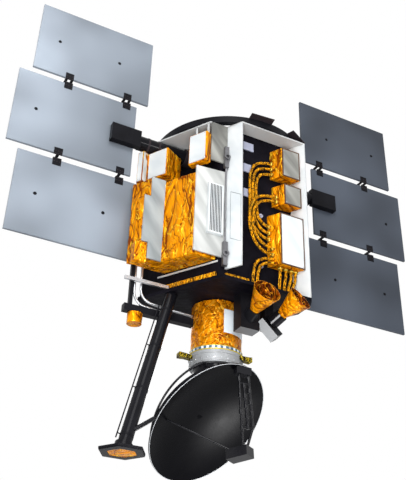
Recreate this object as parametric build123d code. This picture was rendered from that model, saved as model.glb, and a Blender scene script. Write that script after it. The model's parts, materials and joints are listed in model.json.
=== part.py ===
from build123d import *
from math import cos, radians, sin, sqrt
import os

# Earth observation satellite. Millimetres, +Z up, X along the wings, -Y is the front bay.
# The origin is the centre of the adapter ring's top face, and the satellite hangs below it.

# Bus, a hexagonal prism.
SIDE = 736.0
BUS_H = 1425.0
DECK_T = 12.0
PANEL_T = 12.0
FLOOR_T = 26.0
BAY_DEPTH = 122.0
LOWER_DROP = 1170.0
LOWER_RUN = 71.6
LOWER_BACK_X = 136.0
LOWER_BACK_Y = 155.0
NOTCH = 141.0
LEFT_RECESS = 86.0
CORNER_TRIM = 28.0
CLEAR = 0.3
OVERRUN = 5.0

# Adapter ring.
RING_R = 655.0
RING_H = 60.0
RING_WEB = 8.0
RING_FLANGE_W = 46.0
RING_FLANGE_T = 8.0
RING_HOLES = 36
RING_HOLE_R = 5.0
RING_PCD_INSET = 26.0
TAB_W = 200.0
TAB_D = 55.0
TAB_T = 6.0
TAB_TILT = 8.0
TAB_ANGLES = (-95.0, -62.0, 85.0, 118.0)

# Wings: three panels on a boom, the middle one further out.
WING_Y = -76.0
WING_DROP = 75.0
PANEL_L = 990.0
PANEL_H = 690.0
PANEL_THICK = 20.0
PANEL_GAP = 61.0
MID_OUT = 98.0
LEFT_INNER = 814.0
RIGHT_INNER = 721.5
BOOM_R = 62.0
BOOM_WALL = 6.0
BOOM_END = 54.0
YOKE_BACK = 45.0
YOKE_L = 250.0
YOKE_H = 158.0
YOKE_D = 53.0
DRIVE_R = 72.0
LEFT_DRIVE_X = 465.0
RIGHT_DRIVE_X = 520.0
DRIVE_BORE_L = 65.0
DRIVE_DEEP = 135.0
RIGHT_POCKET_X = 440.0
PIN_UP = 40.0
PIN_DOWN = 56.0
HINGE_W = 66.0
HINGE_SHARES = (0.09, 0.597)
KNUCKLE_R = 8.0
KNUCKLE_GAP = 1.0
PIN_R = 3.5
PIN_CLEAR = 0.05
LEAF_T = 4.0
LEAF_LAP = 25.0
ARM_T = 9.7
EDGE_GAP = 6.0
STUD_R = 9.0
STUD_T = 4.0
STUD_SHARES = (0.29, 0.82)

# Spun antenna under the bus.
SPIN_X = -158.0
SPIN_Y = -157.0
DRUM_R = 189.0
DRUM_L = 364.0
BAND_R = 193.0
BAND_H = 29.0
SKIRT_TOP_R = 200.0
SKIRT_LOW_R = 189.0
SKIRT_H = 89.0
SPIN_R = 162.0
SPIN_L = 190.0
SPIN_GAP = 5.0
DISH_R = 489.0
DISH_DEPTH = 108.0
DISH_T = 6.0
RIM_T = 12.0
DISH_X = 31.0
DISH_Y = 142.0
DISH_DROP = 2254.0
DISH_YAW = -63.8
DISH_DOWN = 44.3

root_three = sqrt(3.0)
APOTHEM = SIDE * root_three / 2
UNDER = -(RING_H + DECK_T)
FLOOR = UNDER - BUS_H
FRONT = -APOTHEM
BAY_Y = FRONT + BAY_DEPTH
WING_Z = UNDER - WING_DROP
ALONG = Vector(-0.5, root_three / 2, 0)
OUTWARD = Vector(-root_three / 2, -0.5, 0)
CORNER = Vector(-SIDE / 2, FRONT, 0)
os.makedirs("parts", exist_ok=True)


def save(name, shape):
    export_step(shape, "parts/" + name + ".step")


def group(shapes):
    """Several solids that share a node."""
    return Compound([solid for shape in shapes for solid in shape.solids()])


def drop(depth):
    return UNDER - depth


def left_at(run, out):
    """A plan point, run along the left face from its front corner and out from the face."""
    point = CORNER + ALONG * run + OUTWARD * out
    return (point.X, point.Y)


def prism(points, low, high):
    face = make_face(Polyline(*points, close=True))
    return Pos(0, 0, low) * extrude(face, amount=high - low)


def block(x_pair, y_pair, z_pair):
    size = [max(pair) - min(pair) for pair in (x_pair, y_pair, z_pair)]
    place = [min(pair) for pair in (x_pair, y_pair, z_pair)]
    return Pos(*place) * Box(*size, align=(Align.MIN, Align.MIN, Align.MIN))


def inner_lower(inset, low, high):
    """The lower bus outline, drawn in from its walls."""
    face = offset(lower_face, -inset, kind=Kind.INTERSECTION)
    return Pos(0, 0, low) * extrude(face, amount=high - low)


def left_block(run_pair, out_pair, depth_pair):
    """A block lined up with the left face: runs, stand-offs, depths below the top deck."""
    plan = [left_at(run_pair[0], out_pair[0]), left_at(run_pair[1], out_pair[0]),
            left_at(run_pair[1], out_pair[1]), left_at(run_pair[0], out_pair[1])]
    return prism(plan, drop(max(depth_pair)), drop(min(depth_pair)))


def rod(start, end, radius):
    start = Vector(*start)
    way = Vector(*end) - start
    base = Plane(origin=start, z_dir=way)
    return base.location * Cylinder(radius, way.length, align=(Align.CENTER, Align.CENTER, Align.MIN))


def pipe(start, end, radius, wall):
    return rod(start, end, radius) - rod(start, end, radius - wall)


def bent_tube(points, radius, share=0.45):
    """A tube on straight runs joined by tangent arcs as large as the runs allow."""
    spots = [Vector(*p) for p in points]
    radii = []
    for before, here, after in zip(spots, spots[1:], spots[2:]):
        first, second = here - before, after - here
        turn = radians(first.get_angle(second))
        radii.append(share * min(first.length, second.length) * cos(turn / 2) / sin(turn / 2))
    path = FilletPolyline(*spots, radius=radii) if radii else Polyline(*spots)
    start = Plane(origin=spots[0], z_dir=spots[1] - spots[0])
    return sweep(start * Circle(radius), path=path)


def hexagon(apothem, trim=0.0):
    """Plan points of the bus hexagon, its right corner trimmed flat."""
    side = 2 * apothem / root_three
    right = side - trim
    rise = trim * root_three
    return [(side / 2, -apothem), (right, -rise), (right, rise), (side / 2, apothem),
            (-side / 2, apothem), (-side, 0), (-side / 2, -apothem)]


# Top deck with its notched front corner, and the smaller bottom deck.
inner_notch = (CORNER + ALONG * NOTCH)
FIN_FOOT = Vector(-288.8, BAY_Y, 0)
FIN_TIP = FIN_FOOT - ALONG * NOTCH
notch_cut = [(FIN_TIP.X, FRONT - OVERRUN), (FIN_TIP.X, FRONT), (FIN_FOOT.X, FIN_FOOT.Y),
             (inner_notch.X, inner_notch.Y), (inner_notch.X - NOTCH, inner_notch.Y),
             (inner_notch.X - NOTCH, FRONT - OVERRUN)]
deck_outline = hexagon(APOTHEM, CORNER_TRIM)
top_deck = prism(deck_outline, UNDER, UNDER + DECK_T)
top_deck -= prism(notch_cut, UNDER - OVERRUN, UNDER + DECK_T + OVERRUN)
save("top_deck", top_deck)
lower_right = Vector(SIDE / 2, FRONT, 0) + Vector(-ALONG.X, ALONG.Y, 0) * LOWER_RUN
lower_left_x = -SIDE + LOWER_BACK_Y / root_three
lower_outline = [(-SIDE / 2, FRONT), (SIDE / 2, FRONT), (lower_right.X, lower_right.Y),
                 (LOWER_BACK_X, LOWER_BACK_Y), (lower_left_x, LOWER_BACK_Y), (-SIDE, 0)]
lower_face = make_face(Polyline(*lower_outline, close=True))
bottom_deck = prism(lower_outline, FLOOR, FLOOR + FLOOR_T)
save("bottom_deck", bottom_deck)

# Adapter ring, a channel section with bolt holes in its top flange.
ring_in = RING_R - RING_FLANGE_W
web_in = RING_R - RING_WEB
ring_profile = [(ring_in, 0), (RING_R, 0), (RING_R, -RING_H), (ring_in, -RING_H),
                (ring_in, -RING_H + RING_FLANGE_T), (web_in, -RING_H + RING_FLANGE_T),
                (web_in, -RING_FLANGE_T), (ring_in, -RING_FLANGE_T)]
ring_face = make_face(Plane.XZ * Polyline(*ring_profile, close=True))
adapter_ring = revolve(ring_face, Axis.Z)
hole_circle = RING_R - RING_PCD_INSET
ring_hole = Cylinder(RING_HOLE_R, 2 * RING_FLANGE_T + OVERRUN)
adapter_ring -= PolarLocations(hole_circle, RING_HOLES) * ring_hole
save("adapter_ring", adapter_ring)
tabs = []
for angle in TAB_ANGLES:
    tab = Box(TAB_D + OVERRUN, TAB_W, TAB_T, align=(Align.MIN, Align.CENTER, Align.MAX))
    turn = Location((0, 0, 0), (0, 0, angle))
    tabs.append(turn * Pos(RING_R - OVERRUN * 2, 0, 0) * Rot(0, -TAB_TILT, 0) * tab)
ring_clear = Cylinder(RING_R + CLEAR, RING_H * 4)
save("ring_tabs", group([tab - ring_clear for tab in tabs]))


# Bus core behind the open bays, with the pockets that the booms run through.
POCKET_LOW = 455.0
POCKET_DEEP = 262.0
POCKET_RUN = 300.0
outer = hexagon(APOTHEM - PANEL_T - CLEAR, CORNER_TRIM)
lower_top = drop(LOWER_DROP) + PANEL_T + CLEAR
core = prism(outer, lower_top, UNDER - CLEAR)
core += inner_lower(PANEL_T + CLEAR, FLOOR + FLOOR_T + CLEAR, lower_top)
reach = 2 * SIDE
core -= block((-reach, reach), (-reach, BAY_Y + PANEL_T + CLEAR), (FLOOR - OVERRUN, UNDER + OVERRUN))
core -= left_block((-reach, reach), (-LEFT_RECESS, reach), (-OVERRUN, BUS_H + OVERRUN))
left_pocket = left_block((POCKET_RUN - NOTCH, reach), (-POCKET_DEEP, reach), (-OVERRUN, POCKET_LOW))
right_pocket = block((RIGHT_POCKET_X, reach), (WING_Y - DRIVE_R * 2, WING_Y + DRIVE_R * 2),
                     (drop(POCKET_LOW), UNDER + OVERRUN))
core -= left_pocket
core -= right_pocket
left_seat = rod((-LEFT_DRIVE_X + DRIVE_DEEP, WING_Y, WING_Z), (-LEFT_DRIVE_X, WING_Y, WING_Z), DRIVE_R)
core -= left_seat
save("bus_core", core)

# White and grey wall panels round the front-left corner.
FIN_DROP = 1285.0
GREY_DROP = 365.0
GREY_LEFT_X = -430.0
GRILLE_LOW = 1200.0
GRILLE_TOP_OUT = 463.0
GRILLE_TOP_IN = 444.0
LEFT_BOX_OUT = 96.0
thick = ALONG.cross(Vector(0, 0, 1)) * PANEL_T


def fin(foot, tip, low, high):
    """An upright panel on a plan line, thick on the side away from the left corner."""
    plan = [(foot.X, foot.Y), (tip.X, tip.Y), (tip.X + thick.X, tip.Y + thick.Y),
            (foot.X + thick.X, foot.Y + thick.Y)]
    behind = block((-SIDE, SIDE), (BAY_Y - CLEAR, BAY_Y + PANEL_T), (low, high))
    return prism(plan, low, high) - behind


corner_fin = fin(FIN_FOOT, FIN_TIP, drop(FIN_DROP), UNDER - CLEAR)
save("corner_fin", corner_fin)
right_foot = Vector(SIDE / 2, FRONT, 0) + ALONG * (BAY_DEPTH * 2 / root_three)
right_tip = Vector(SIDE / 2, FRONT, 0)
right_fin = fin(right_foot - thick, right_tip - thick, FLOOR + FLOOR_T + CLEAR, UNDER - CLEAR)
save("right_fin", right_fin)
grey_panel = block((GREY_LEFT_X, FIN_FOOT.X - CLEAR), (BAY_Y - PANEL_T, BAY_Y), (drop(GREY_DROP), UNDER - CLEAR))
save("grey_panel", grey_panel)
grille_left = left_at((BAY_DEPTH + LEFT_BOX_OUT / 2) * 2 / root_three, LEFT_BOX_OUT)
grille_face = make_face(Plane.XZ.offset(-BAY_Y) * Polyline(
    (grille_left[0], drop(GRILLE_LOW)), (FIN_FOOT.X - CLEAR, drop(GRILLE_LOW)),
    (FIN_FOOT.X - CLEAR, drop(GRILLE_TOP_IN)), (grille_left[0], drop(GRILLE_TOP_OUT)), close=True))
grille_panel = extrude(grille_face, amount=PANEL_T)
save("grille_panel", grille_panel)
bay_wall = block((-SIDE, right_foot.X), (BAY_Y, BAY_Y + PANEL_T), (FLOOR + FLOOR_T + CLEAR, UNDER - CLEAR))
bay_wall -= left_block((-reach, reach), (-LEFT_RECESS, reach), (-OVERRUN, BUS_H + OVERRUN))
save("bay_wall", bay_wall)

# Louvred outlet on the grille panel.
LOUVRE_X = (-455.0, -330.0)
LOUVRE_DROPS = (599.0, 1033.0)
LOUVRE_D = 30.0
LOUVRE_RIM = 12.0
LOUVRE_SLOTS = 8
LOUVRE_SLOT_SHARE = 0.55
louvre_front = BAY_Y - PANEL_T - LOUVRE_D
louvre = block(LOUVRE_X, (louvre_front, BAY_Y - PANEL_T), (drop(LOUVRE_DROPS[0]), drop(LOUVRE_DROPS[1])))
slot_pitch = (LOUVRE_X[1] - LOUVRE_X[0] - 2 * LOUVRE_RIM) / LOUVRE_SLOTS
slot_w = slot_pitch * LOUVRE_SLOT_SHARE
slot_h = LOUVRE_DROPS[1] - LOUVRE_DROPS[0] - 2 * LOUVRE_RIM
slot_mid = drop((LOUVRE_DROPS[0] + LOUVRE_DROPS[1]) / 2)
slot = Box(slot_w, LOUVRE_D, slot_h)
for index in range(LOUVRE_SLOTS):
    slot_x = LOUVRE_X[0] + LOUVRE_RIM + (index + 0.5) * slot_pitch
    louvre -= Pos(slot_x, louvre_front, slot_mid) * slot
save("louvre", louvre)

# Hinge post down the inner corner: a rod between two ringed fittings.
POST_R = 7.0
POST_OFF = 16.0
FITTING_W = 34.0
FITTING_D = 30.0
FITTING_H = 196.0
FITTING_DROPS = (318.0, 1178.0)
EYE_R = 26.0
EYE_T = 10.0
EYE_HOLE_R = 13.0
post_x = FIN_FOOT.X - FITTING_W / 2 - CLEAR
post_y = BAY_Y - PANEL_T - FITTING_D / 2
fittings = []
for depth in FITTING_DROPS:
    body = Pos(post_x, post_y, drop(depth)) * Box(FITTING_W, FITTING_D, FITTING_H)
    eye_at = Plane(origin=(post_x, post_y - FITTING_D / 2, drop(depth)), z_dir=(0, -1, 0))
    body += eye_at.location * Cylinder(EYE_R, EYE_T, align=(Align.CENTER, Align.CENTER, Align.MIN))
    body -= eye_at.location * Cylinder(EYE_HOLE_R, 2 * EYE_T)
    fittings.append(body)
post_top = drop(FITTING_DROPS[0] + FITTING_H / 2)
post_low = drop(FITTING_DROPS[1] - FITTING_H / 2)
post = rod((post_x, post_y, post_low), (post_x, post_y, post_top), POST_R)
save("hinge_post", post + fittings[0] + fittings[1])

# Gold equipment box that stands out of the left face, with its stepped white radiator.
BOX_DROPS = (512.0, 1222.0)
STEP_X = 852.0
STEP_Y = -272.0
NARROW_X = 802.0
STEP_DROPS = (690.0, 1090.0)
STEP_DEEP = 73.0
END_RUN = 190.0
g_run = (BAY_DEPTH + LEFT_BOX_OUT / 2 + CLEAR * 3) * 2 / root_three
k_run = (STEP_Y - FRONT + LEFT_BOX_OUT / 2) * 2 / root_three
k_point = left_at(k_run, LEFT_BOX_OUT)
inner_front = left_at((BAY_DEPTH - LEFT_RECESS / 2 + PANEL_T) * 2 / root_three, -LEFT_RECESS + CLEAR)
end_out = (-NARROW_X + ALONG.X * END_RUN, STEP_Y + ALONG.Y * END_RUN)
inner_end_run = (end_out[1] - FRONT - LEFT_RECESS / 2) * 2 / root_three
inner_end = left_at(inner_end_run, -LEFT_RECESS + CLEAR)
left_box = prism([left_at(g_run, LEFT_BOX_OUT), k_point, (-NARROW_X, STEP_Y), end_out, inner_end,
                  inner_front], drop(BOX_DROPS[1]), drop(BOX_DROPS[0]))
save("left_box", left_box)
radiator_face = make_face(Plane.XZ.offset(-STEP_Y + CLEAR) * Polyline(
    (k_point[0], drop(BOX_DROPS[0])), (-NARROW_X, drop(BOX_DROPS[0])), (-NARROW_X, drop(STEP_DROPS[0])),
    (-STEP_X, drop(STEP_DROPS[0])), (-STEP_X, drop(STEP_DROPS[1])), (-NARROW_X, drop(STEP_DROPS[1])),
    (-NARROW_X, drop(BOX_DROPS[1])), (k_point[0], drop(BOX_DROPS[1])), close=True))
save("stepped_radiator", extrude(radiator_face, amount=PANEL_T))
step_plan = [(-NARROW_X - CLEAR, STEP_Y), (-STEP_X, STEP_Y),
             (-STEP_X + ALONG.X * STEP_DEEP, STEP_Y + ALONG.Y * STEP_DEEP),
             (-NARROW_X - CLEAR + ALONG.X * STEP_DEEP, STEP_Y + ALONG.Y * STEP_DEEP)]
step_block = prism(step_plan, drop(STEP_DROPS[1]), drop(STEP_DROPS[0]))
BLOCK_X = (-900.0, -803.0)
BLOCK_DROPS = (1099.0, 1262.0)
low_block = block((BLOCK_X[0], BLOCK_X[1] - CLEAR), (STEP_Y - PANEL_T, STEP_Y + STEP_DEEP),
                  (drop(BLOCK_DROPS[0]), drop(BLOCK_DROPS[1])))
save("left_blocks", group([step_block, low_block - left_box]))

# Equipment boxes on the left face: one at the front corner and two at the left corner.
# runs along the face, stand-offs and depths below the deck
FACE_BOXES = {
    "deck_box": ((132.0, 300.0), (0.0, 56.0), (118.0, 400.0)),
    "corner_box": ((500.0, 690.0), (-130.0, 60.0), (143.0, 410.0)),
    "far_box": ((690.3, 752.0), (-20.0, 120.0), (143.0, 446.0)),
}
PLATE_T = 6.0
PLATE_INSET = 12.0
HANGER_RUNS = ((150.0, 172.0), (260.0, 282.0))
HANGER_T = 8.0
FOOT_RUNS = ((515.0, 545.0), (640.0, 670.0))
FOOT_OUTS = (-130.0, -96.0)
face_boxes, face_plates = [], []
for name, (runs, outs, depths) in FACE_BOXES.items():
    solid = left_block(runs, outs, depths)
    if name == "deck_box":
        for strap in HANGER_RUNS:
            solid += left_block(strap, (outs[0] - HANGER_T, outs[0]), (CLEAR, depths[1]))
    if name == "corner_box":
        for foot in FOOT_RUNS:
            solid += left_block(foot, FOOT_OUTS, (depths[1], POCKET_LOW - CLEAR))
    face_boxes.append(solid)
    face_plates.append(left_block((runs[0] + PLATE_INSET, runs[1] - PLATE_INSET),
                                  (outs[1] + CLEAR, outs[1] + PLATE_T),
                                  (depths[0] + PLATE_INSET, depths[1] - PLATE_INSET)))
save("face_boxes", group(face_boxes))
save("face_plates", group(face_plates))

# Electronics boxes in the front bay, their sides along the left face.
# left x, right x, top and bottom below the deck
BAY_BOXES = ((157.0, 323.0, 94.0, 370.0), (169.0, 327.0, 440.0, 629.0), (126.0, 337.0, 722.0, 1171.0))
BAY_BOX_RUN = 115.0
BAY_FACE_INSET = 9.0
boxes, plates = [], []
run_x, run_y = ALONG.X * BAY_BOX_RUN, ALONG.Y * BAY_BOX_RUN
back_y = BAY_Y - CLEAR
for left, right, top, low in BAY_BOXES:
    front_y = back_y - run_y
    plan = [(left, front_y), (right, front_y), (right + run_x, back_y), (left + run_x, back_y)]
    boxes.append(prism(plan, drop(low), drop(top)))
    plates.append(block((left + BAY_FACE_INSET, right - BAY_FACE_INSET), (front_y - PLATE_T, front_y - CLEAR),
                        (drop(low - BAY_FACE_INSET), drop(top + BAY_FACE_INSET))))
save("bay_boxes", group(boxes))
save("bay_plates", group(plates))

# Small pads and lugs on the bay wall.
# left x, width, depth below the deck, height
BAY_PADS = ((-143.0, 93.0, 80.0, 76.0), (-142.0, 70.0, 294.0, 76.0), (-141.0, 48.0, 530.0, 72.0))
PAD_T = 8.0
BAY_LUG_X = 12.0
BAY_LUG_DROPS = (741.0, 1180.0)
LUG_R = 17.0
LUG_HOLE_R = 7.0
pads = [block((left, left + width), (back_y - PAD_T, back_y), (drop(depth), drop(depth + height)))
        for left, width, depth, height in BAY_PADS]
lugs = []
for depth in BAY_LUG_DROPS:
    lug_at = Plane(origin=(BAY_LUG_X, back_y, drop(depth)), z_dir=(0, -1, 0))
    ring = Cylinder(LUG_R, PANEL_T, align=(Align.CENTER, Align.CENTER, Align.MIN))
    hole = Cylinder(LUG_HOLE_R, 3 * PANEL_T)
    lugs.append(lug_at.location * (ring - hole))
save("bay_fittings", group(pads + lugs))

# Gold-wrapped cables in the front bay, as routes of x and depth below the deck.
CABLE_R = 11.0
TRUNK_Y = back_y - PANEL_T - CABLE_R - CLEAR
CABLE_GAP = 2.0
LOOP_Y = TRUNK_Y - 2 * CABLE_R - CABLE_GAP
PORT_X = 150.0
TRUNK_ROUTES = (
    ((PORT_X, 232.0), (50.0, 236.0), (-50.0, 280.0), (-94.0, 390.0), (-96.0, 560.0), (-94.0, 740.0),
     (-68.0, 860.0), (10.0, 938.0), (PORT_X, 944.0)),
    ((PORT_X, 284.0), (60.0, 288.0), (-30.0, 325.0), (-65.0, 420.0), (-67.0, 570.0), (-65.0, 720.0),
     (-42.0, 822.0), (20.0, 884.0), (PORT_X, 890.0)),
    ((PORT_X, 336.0), (70.0, 340.0), (-6.0, 370.0), (-36.0, 450.0), (-38.0, 580.0), (-36.0, 700.0),
     (-16.0, 782.0), (34.0, 828.0), (PORT_X, 834.0)),
)
LOOP_ROUTES = (
    ((PORT_X, 560.0), (50.0, 564.0), (-50.0, 606.0), (-108.0, 720.0), (-112.0, 880.0), (-70.0, 1010.0),
     (10.0, 1078.0), (PORT_X, 1086.0)),
    ((PORT_X, 600.0), (66.0, 604.0), (-24.0, 640.0), (-78.0, 740.0), (-80.0, 880.0), (-46.0, 970.0),
     (30.0, 1026.0), (PORT_X, 1034.0)),
)
LOW_ROUTES = (
    ((PORT_X, 1116.0), (30.0, 1122.0), (-60.0, 1180.0), (-82.0, 1300.0), (-80.0, 1410.0)),
    ((PORT_X, 1148.0), (60.0, 1152.0), (-20.0, 1196.0), (-46.0, 1300.0), (-44.0, 1410.0)),
)
TAIL_ROUTES = (
    ((150.0, 1150.0), (150.0, 1250.0), (140.0, 1330.0), (142.0, 1410.0)),
    ((200.0, 1150.0), (200.0, 1250.0), (180.0, 1330.0), (182.0, 1410.0)),
    ((248.0, 1150.0), (246.0, 1250.0), (216.0, 1330.0), (218.0, 1410.0)),
    ((284.0, 1150.0), (282.0, 1250.0), (252.0, 1330.0), (254.0, 1410.0)),
)


def cables(routes, y):
    """Cables at one distance from the wall, cut off flush where they enter a box or the deck."""
    lengths = [bent_tube([(x, y, drop(depth)) for x, depth in route], CABLE_R) for route in routes]
    for other in boxes + [bottom_deck]:
        lengths = [length - other for length in lengths]
    return group(lengths)


save("bay_cables", group([cables(TRUNK_ROUTES, TRUNK_Y), cables(LOOP_ROUTES, LOOP_Y),
                          cables(LOW_ROUTES + TAIL_ROUTES, LOOP_Y)]))

# Gold harness along the foot of the bay walls.
HARNESS_DROPS = (1320.0, 1352.0)
HARNESS_D = 18.0
HARNESS_RUNS = (104.0, 535.0)
HARNESS_X = -95.0
left_harness = left_block(HARNESS_RUNS, (-LEFT_RECESS + CLEAR, -LEFT_RECESS + HARNESS_D), HARNESS_DROPS)
front_harness = block((FIN_FOOT.X, HARNESS_X), (BAY_Y - HARNESS_D, BAY_Y - CLEAR),
                      (drop(HARNESS_DROPS[0]), drop(HARNESS_DROPS[1])))
save("harness", group([left_harness, front_harness]))

# Closure panels round the four hidden faces, cut out where the booms come through.
RADIATOR_INSET = 90.0
RADIATOR_DROPS = (430.0, 1130.0)
RADIATOR_T = 6.0
SEAM = 2.0
shell_low, shell_top = FLOOR + FLOOR_T + CLEAR, UNDER - CLEAR
step_low = drop(LOWER_DROP)
shell = prism(hexagon(APOTHEM, CORNER_TRIM), step_low, shell_top)
shell -= prism(hexagon(APOTHEM - PANEL_T, CORNER_TRIM), step_low + PANEL_T, shell_top + OVERRUN)
shell += prism(lower_outline, shell_low, step_low)
shell -= inner_lower(PANEL_T, shell_low - OVERRUN, step_low + OVERRUN + PANEL_T)
shell -= block((-reach, right_tip.X), (-reach, right_foot.Y), (FLOOR - OVERRUN, UNDER + OVERRUN))
shell -= block((-reach, right_tip.X + PANEL_T), (-reach, FRONT + 3 * PANEL_T), (FLOOR - OVERRUN, UNDER + OVERRUN))
shell -= left_block((-reach, reach), (-LEFT_RECESS, reach), (-OVERRUN, BUS_H + OVERRUN))
shell -= left_pocket
shell -= right_pocket
for seam_x in (-SIDE / 2, SIDE / 2):
    shell -= block((seam_x - SEAM / 2, seam_x + SEAM / 2), (APOTHEM - 2 * PANEL_T, APOTHEM + OVERRUN),
                   (FLOOR - OVERRUN, UNDER + OVERRUN))
save("closure_panels", shell)
radiators = []
for step in range(1, 5):
    radiator = left_block((RADIATOR_INSET, SIDE - RADIATOR_INSET), (CLEAR, RADIATOR_T), RADIATOR_DROPS)
    radiators.append(Rot(0, 0, -60 * step) * radiator)
save("rear_radiators", group(radiators))

# Star trackers under the front edge: gold cups on black barrels, each with its box.
# rim centre x, y, depth; outward axis; cup length; rim radius; barrel length
CUPS = (
    ((-72.0, -740.0, 1499.0), (0.009, -0.923, 0.411), 185.0, 105.0, 115.0),
    ((203.0, -740.0, 1485.0), (0.352, -0.814, 0.459), 184.0, 98.0, 90.0),
)
CUP_BASE_R = 37.0
CUP_WALL = 3.0
BARREL_R = 48.0
TRACKER_BOX_X = (-152.0, 0.0)
TRACKER_BOX_Y = (-514.0, -408.0)
TRACKER_BOX_LOW = 1700.0
TILT_BOX_AT = (93.0, -490.0, 1654.0)
TILT_BOX_ALONG = (0.666, -0.126, -0.736)
TILT_BOX_SIZE = (168.0, 140.0, 70.0)
HANGER_X = (60.0, 130.0)
HANGER_Y = (-490.0, -420.0)
cups, barrels = [], []
for rim, out, length, rim_r, barrel_l in CUPS:
    rim_at = Vector(rim[0], rim[1], drop(rim[2]))
    axis = Vector(*out).normalized()
    base = Plane(origin=rim_at - axis * length, z_dir=axis)
    low_end = (Align.CENTER, Align.CENTER, Align.MIN)
    cup = Cone(CUP_BASE_R, rim_r, length, align=low_end)
    hollow = Cone(CUP_BASE_R - CUP_WALL, rim_r - CUP_WALL, length, align=low_end)
    cups.append(base.location * (cup - Pos(0, 0, CUP_WALL) * hollow))
    barrels.append(base.location * Cylinder(BARREL_R, barrel_l, align=(Align.CENTER, Align.CENTER, Align.MAX)))
save("tracker_cups", group(cups))
tracker_box = block(TRACKER_BOX_X, TRACKER_BOX_Y, (drop(TRACKER_BOX_LOW), FLOOR))
tilt_at = Plane(origin=(TILT_BOX_AT[0], TILT_BOX_AT[1], drop(TILT_BOX_AT[2])), x_dir=TILT_BOX_ALONG,
                z_dir=CUPS[1][1])
tilt_box = tilt_at.location * Box(*TILT_BOX_SIZE)
hanger = block(HANGER_X, HANGER_Y, (drop(TILT_BOX_AT[2]), FLOOR))
save("tracker_mounts", tracker_box + barrels[0] + tilt_box + barrels[1] + hanger)

# Fixed drum under the bus, with its band, flared skirt and gold ring brackets.
# x pair, y pair, depths below the deck
BRACKETS = (
    ((-461.0, -300.0), (-187.0, -127.0), (1832.0, 1872.0)),
    ((-60.0, 50.0), (-330.0, -270.0), (1822.0, 1862.0)),
)
SPINDLE_R = 45.0
SPINDLE_L = 60.0
drum_low = FLOOR - DRUM_L
skirt_top = drum_low - BAND_H
skirt_low = skirt_top - SKIRT_H
drum = rod((SPIN_X, SPIN_Y, drum_low), (SPIN_X, SPIN_Y, FLOOR), DRUM_R)
save("drum", drum)
save("drum_band", rod((SPIN_X, SPIN_Y, skirt_top), (SPIN_X, SPIN_Y, drum_low), BAND_R))
low_end = (Align.CENTER, Align.CENTER, Align.MIN)
skirt = Pos(SPIN_X, SPIN_Y, skirt_low) * Cone(SKIRT_LOW_R, SKIRT_TOP_R, SKIRT_H, align=low_end)
brackets = [block(x_pair, y_pair, (drop(depths[1]), drop(depths[0]))) - skirt for x_pair, y_pair, depths in BRACKETS]
save("ring_brackets", group(brackets))
skirt -= rod((SPIN_X, SPIN_Y, skirt_low - OVERRUN), (SPIN_X, SPIN_Y, skirt_top + OVERRUN), SPINDLE_R + PIN_CLEAR)
save("skirt", skirt)

# Spun dish antenna. The spun drum is cut to seat on the back of the dish.
RING_BACK = 60.0
HOOP_R = 440.0
RELIEF = 6.0
HOOP_W = 14.0
RIBS = 8
RIB_T = 8.0
RIB_DEEP = 160.0
HUB_R = 70.0
HUB_BACK = 175.0
spin_top = skirt_low - SPIN_GAP
spun = rod((SPIN_X, SPIN_Y, spin_top - SPIN_L), (SPIN_X, SPIN_Y, spin_top), SPIN_R)
spun += rod((SPIN_X, SPIN_Y, spin_top - OVERRUN), (SPIN_X, SPIN_Y, spin_top + SPINDLE_L), SPINDLE_R)
facing = Vector(cos(radians(DISH_DOWN)) * cos(radians(DISH_YAW)),
                cos(radians(DISH_DOWN)) * sin(radians(DISH_YAW)), -sin(radians(DISH_DOWN)))
across = Vector(-sin(radians(DISH_YAW)), cos(radians(DISH_YAW)), 0)
dish_at = Plane(origin=(SPIN_X + DISH_X, SPIN_Y + DISH_Y, drop(DISH_DROP)), x_dir=across, z_dir=facing).location
ball_r = (DISH_R ** 2 + DISH_DEPTH ** 2) / (2 * DISH_DEPTH)
ball_h = ball_r - DISH_DEPTH
ball = Pos(0, 0, ball_h) * Sphere(ball_r + DISH_T)
mouth_r = DISH_R - DISH_T
bowl = ball - Pos(0, 0, ball_h) * Sphere(ball_r)
bowl &= Cylinder(mouth_r, 3 * DISH_DEPTH)
rim = Cylinder(DISH_R, RIM_T, align=(Align.CENTER, Align.CENTER, Align.MAX))
rim -= Cylinder(mouth_r, 3 * RIM_T)
dish, dish_rim = dish_at * bowl, dish_at * rim
save("dish", dish)
save("dish_rim", dish_rim)
frame = Pos(0, 0, -RING_BACK) * (Cylinder(HOOP_R + HOOP_W / 2, HOOP_W) - Cylinder(HOOP_R - HOOP_W / 2, HOOP_W))
rib_face = make_face(Plane.XZ * Polyline((HUB_R / 2, 0), (HOOP_R, 0), (HOOP_R, -RING_BACK - HOOP_W / 2),
                                         (HUB_R / 2, -RIB_DEEP), close=True))
rib = Pos(0, RIB_T / 2, 0) * extrude(rib_face, amount=RIB_T)
for step in range(RIBS):
    frame += Rot(0, 0, (step + 0.5) * 360 / RIBS) * rib
frame += Cylinder(HUB_R, HUB_BACK, align=(Align.CENTER, Align.CENTER, Align.MAX))
dish_frame = dish_at * (frame - ball - rim) - spun
dish_frame -= rod((SPIN_X, SPIN_Y, skirt_low - RELIEF), (SPIN_X, SPIN_Y, FLOOR), SKIRT_TOP_R + RELIEF)
save("dish_frame", dish_frame)
spun -= dish_at * ball
save("spun_drum", spun)

# Feed on its tube frame in front of the dish, and the thin strut across.
FEED_Y = -325.0
FEED_R = 9.0
FEED_BRACKET_X = (-90.0, 29.0)
FEED_BRACKET_Y = (-352.0, -275.0)
FEED_BRACKET_DROPS = (1916.0, 1970.0)
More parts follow.
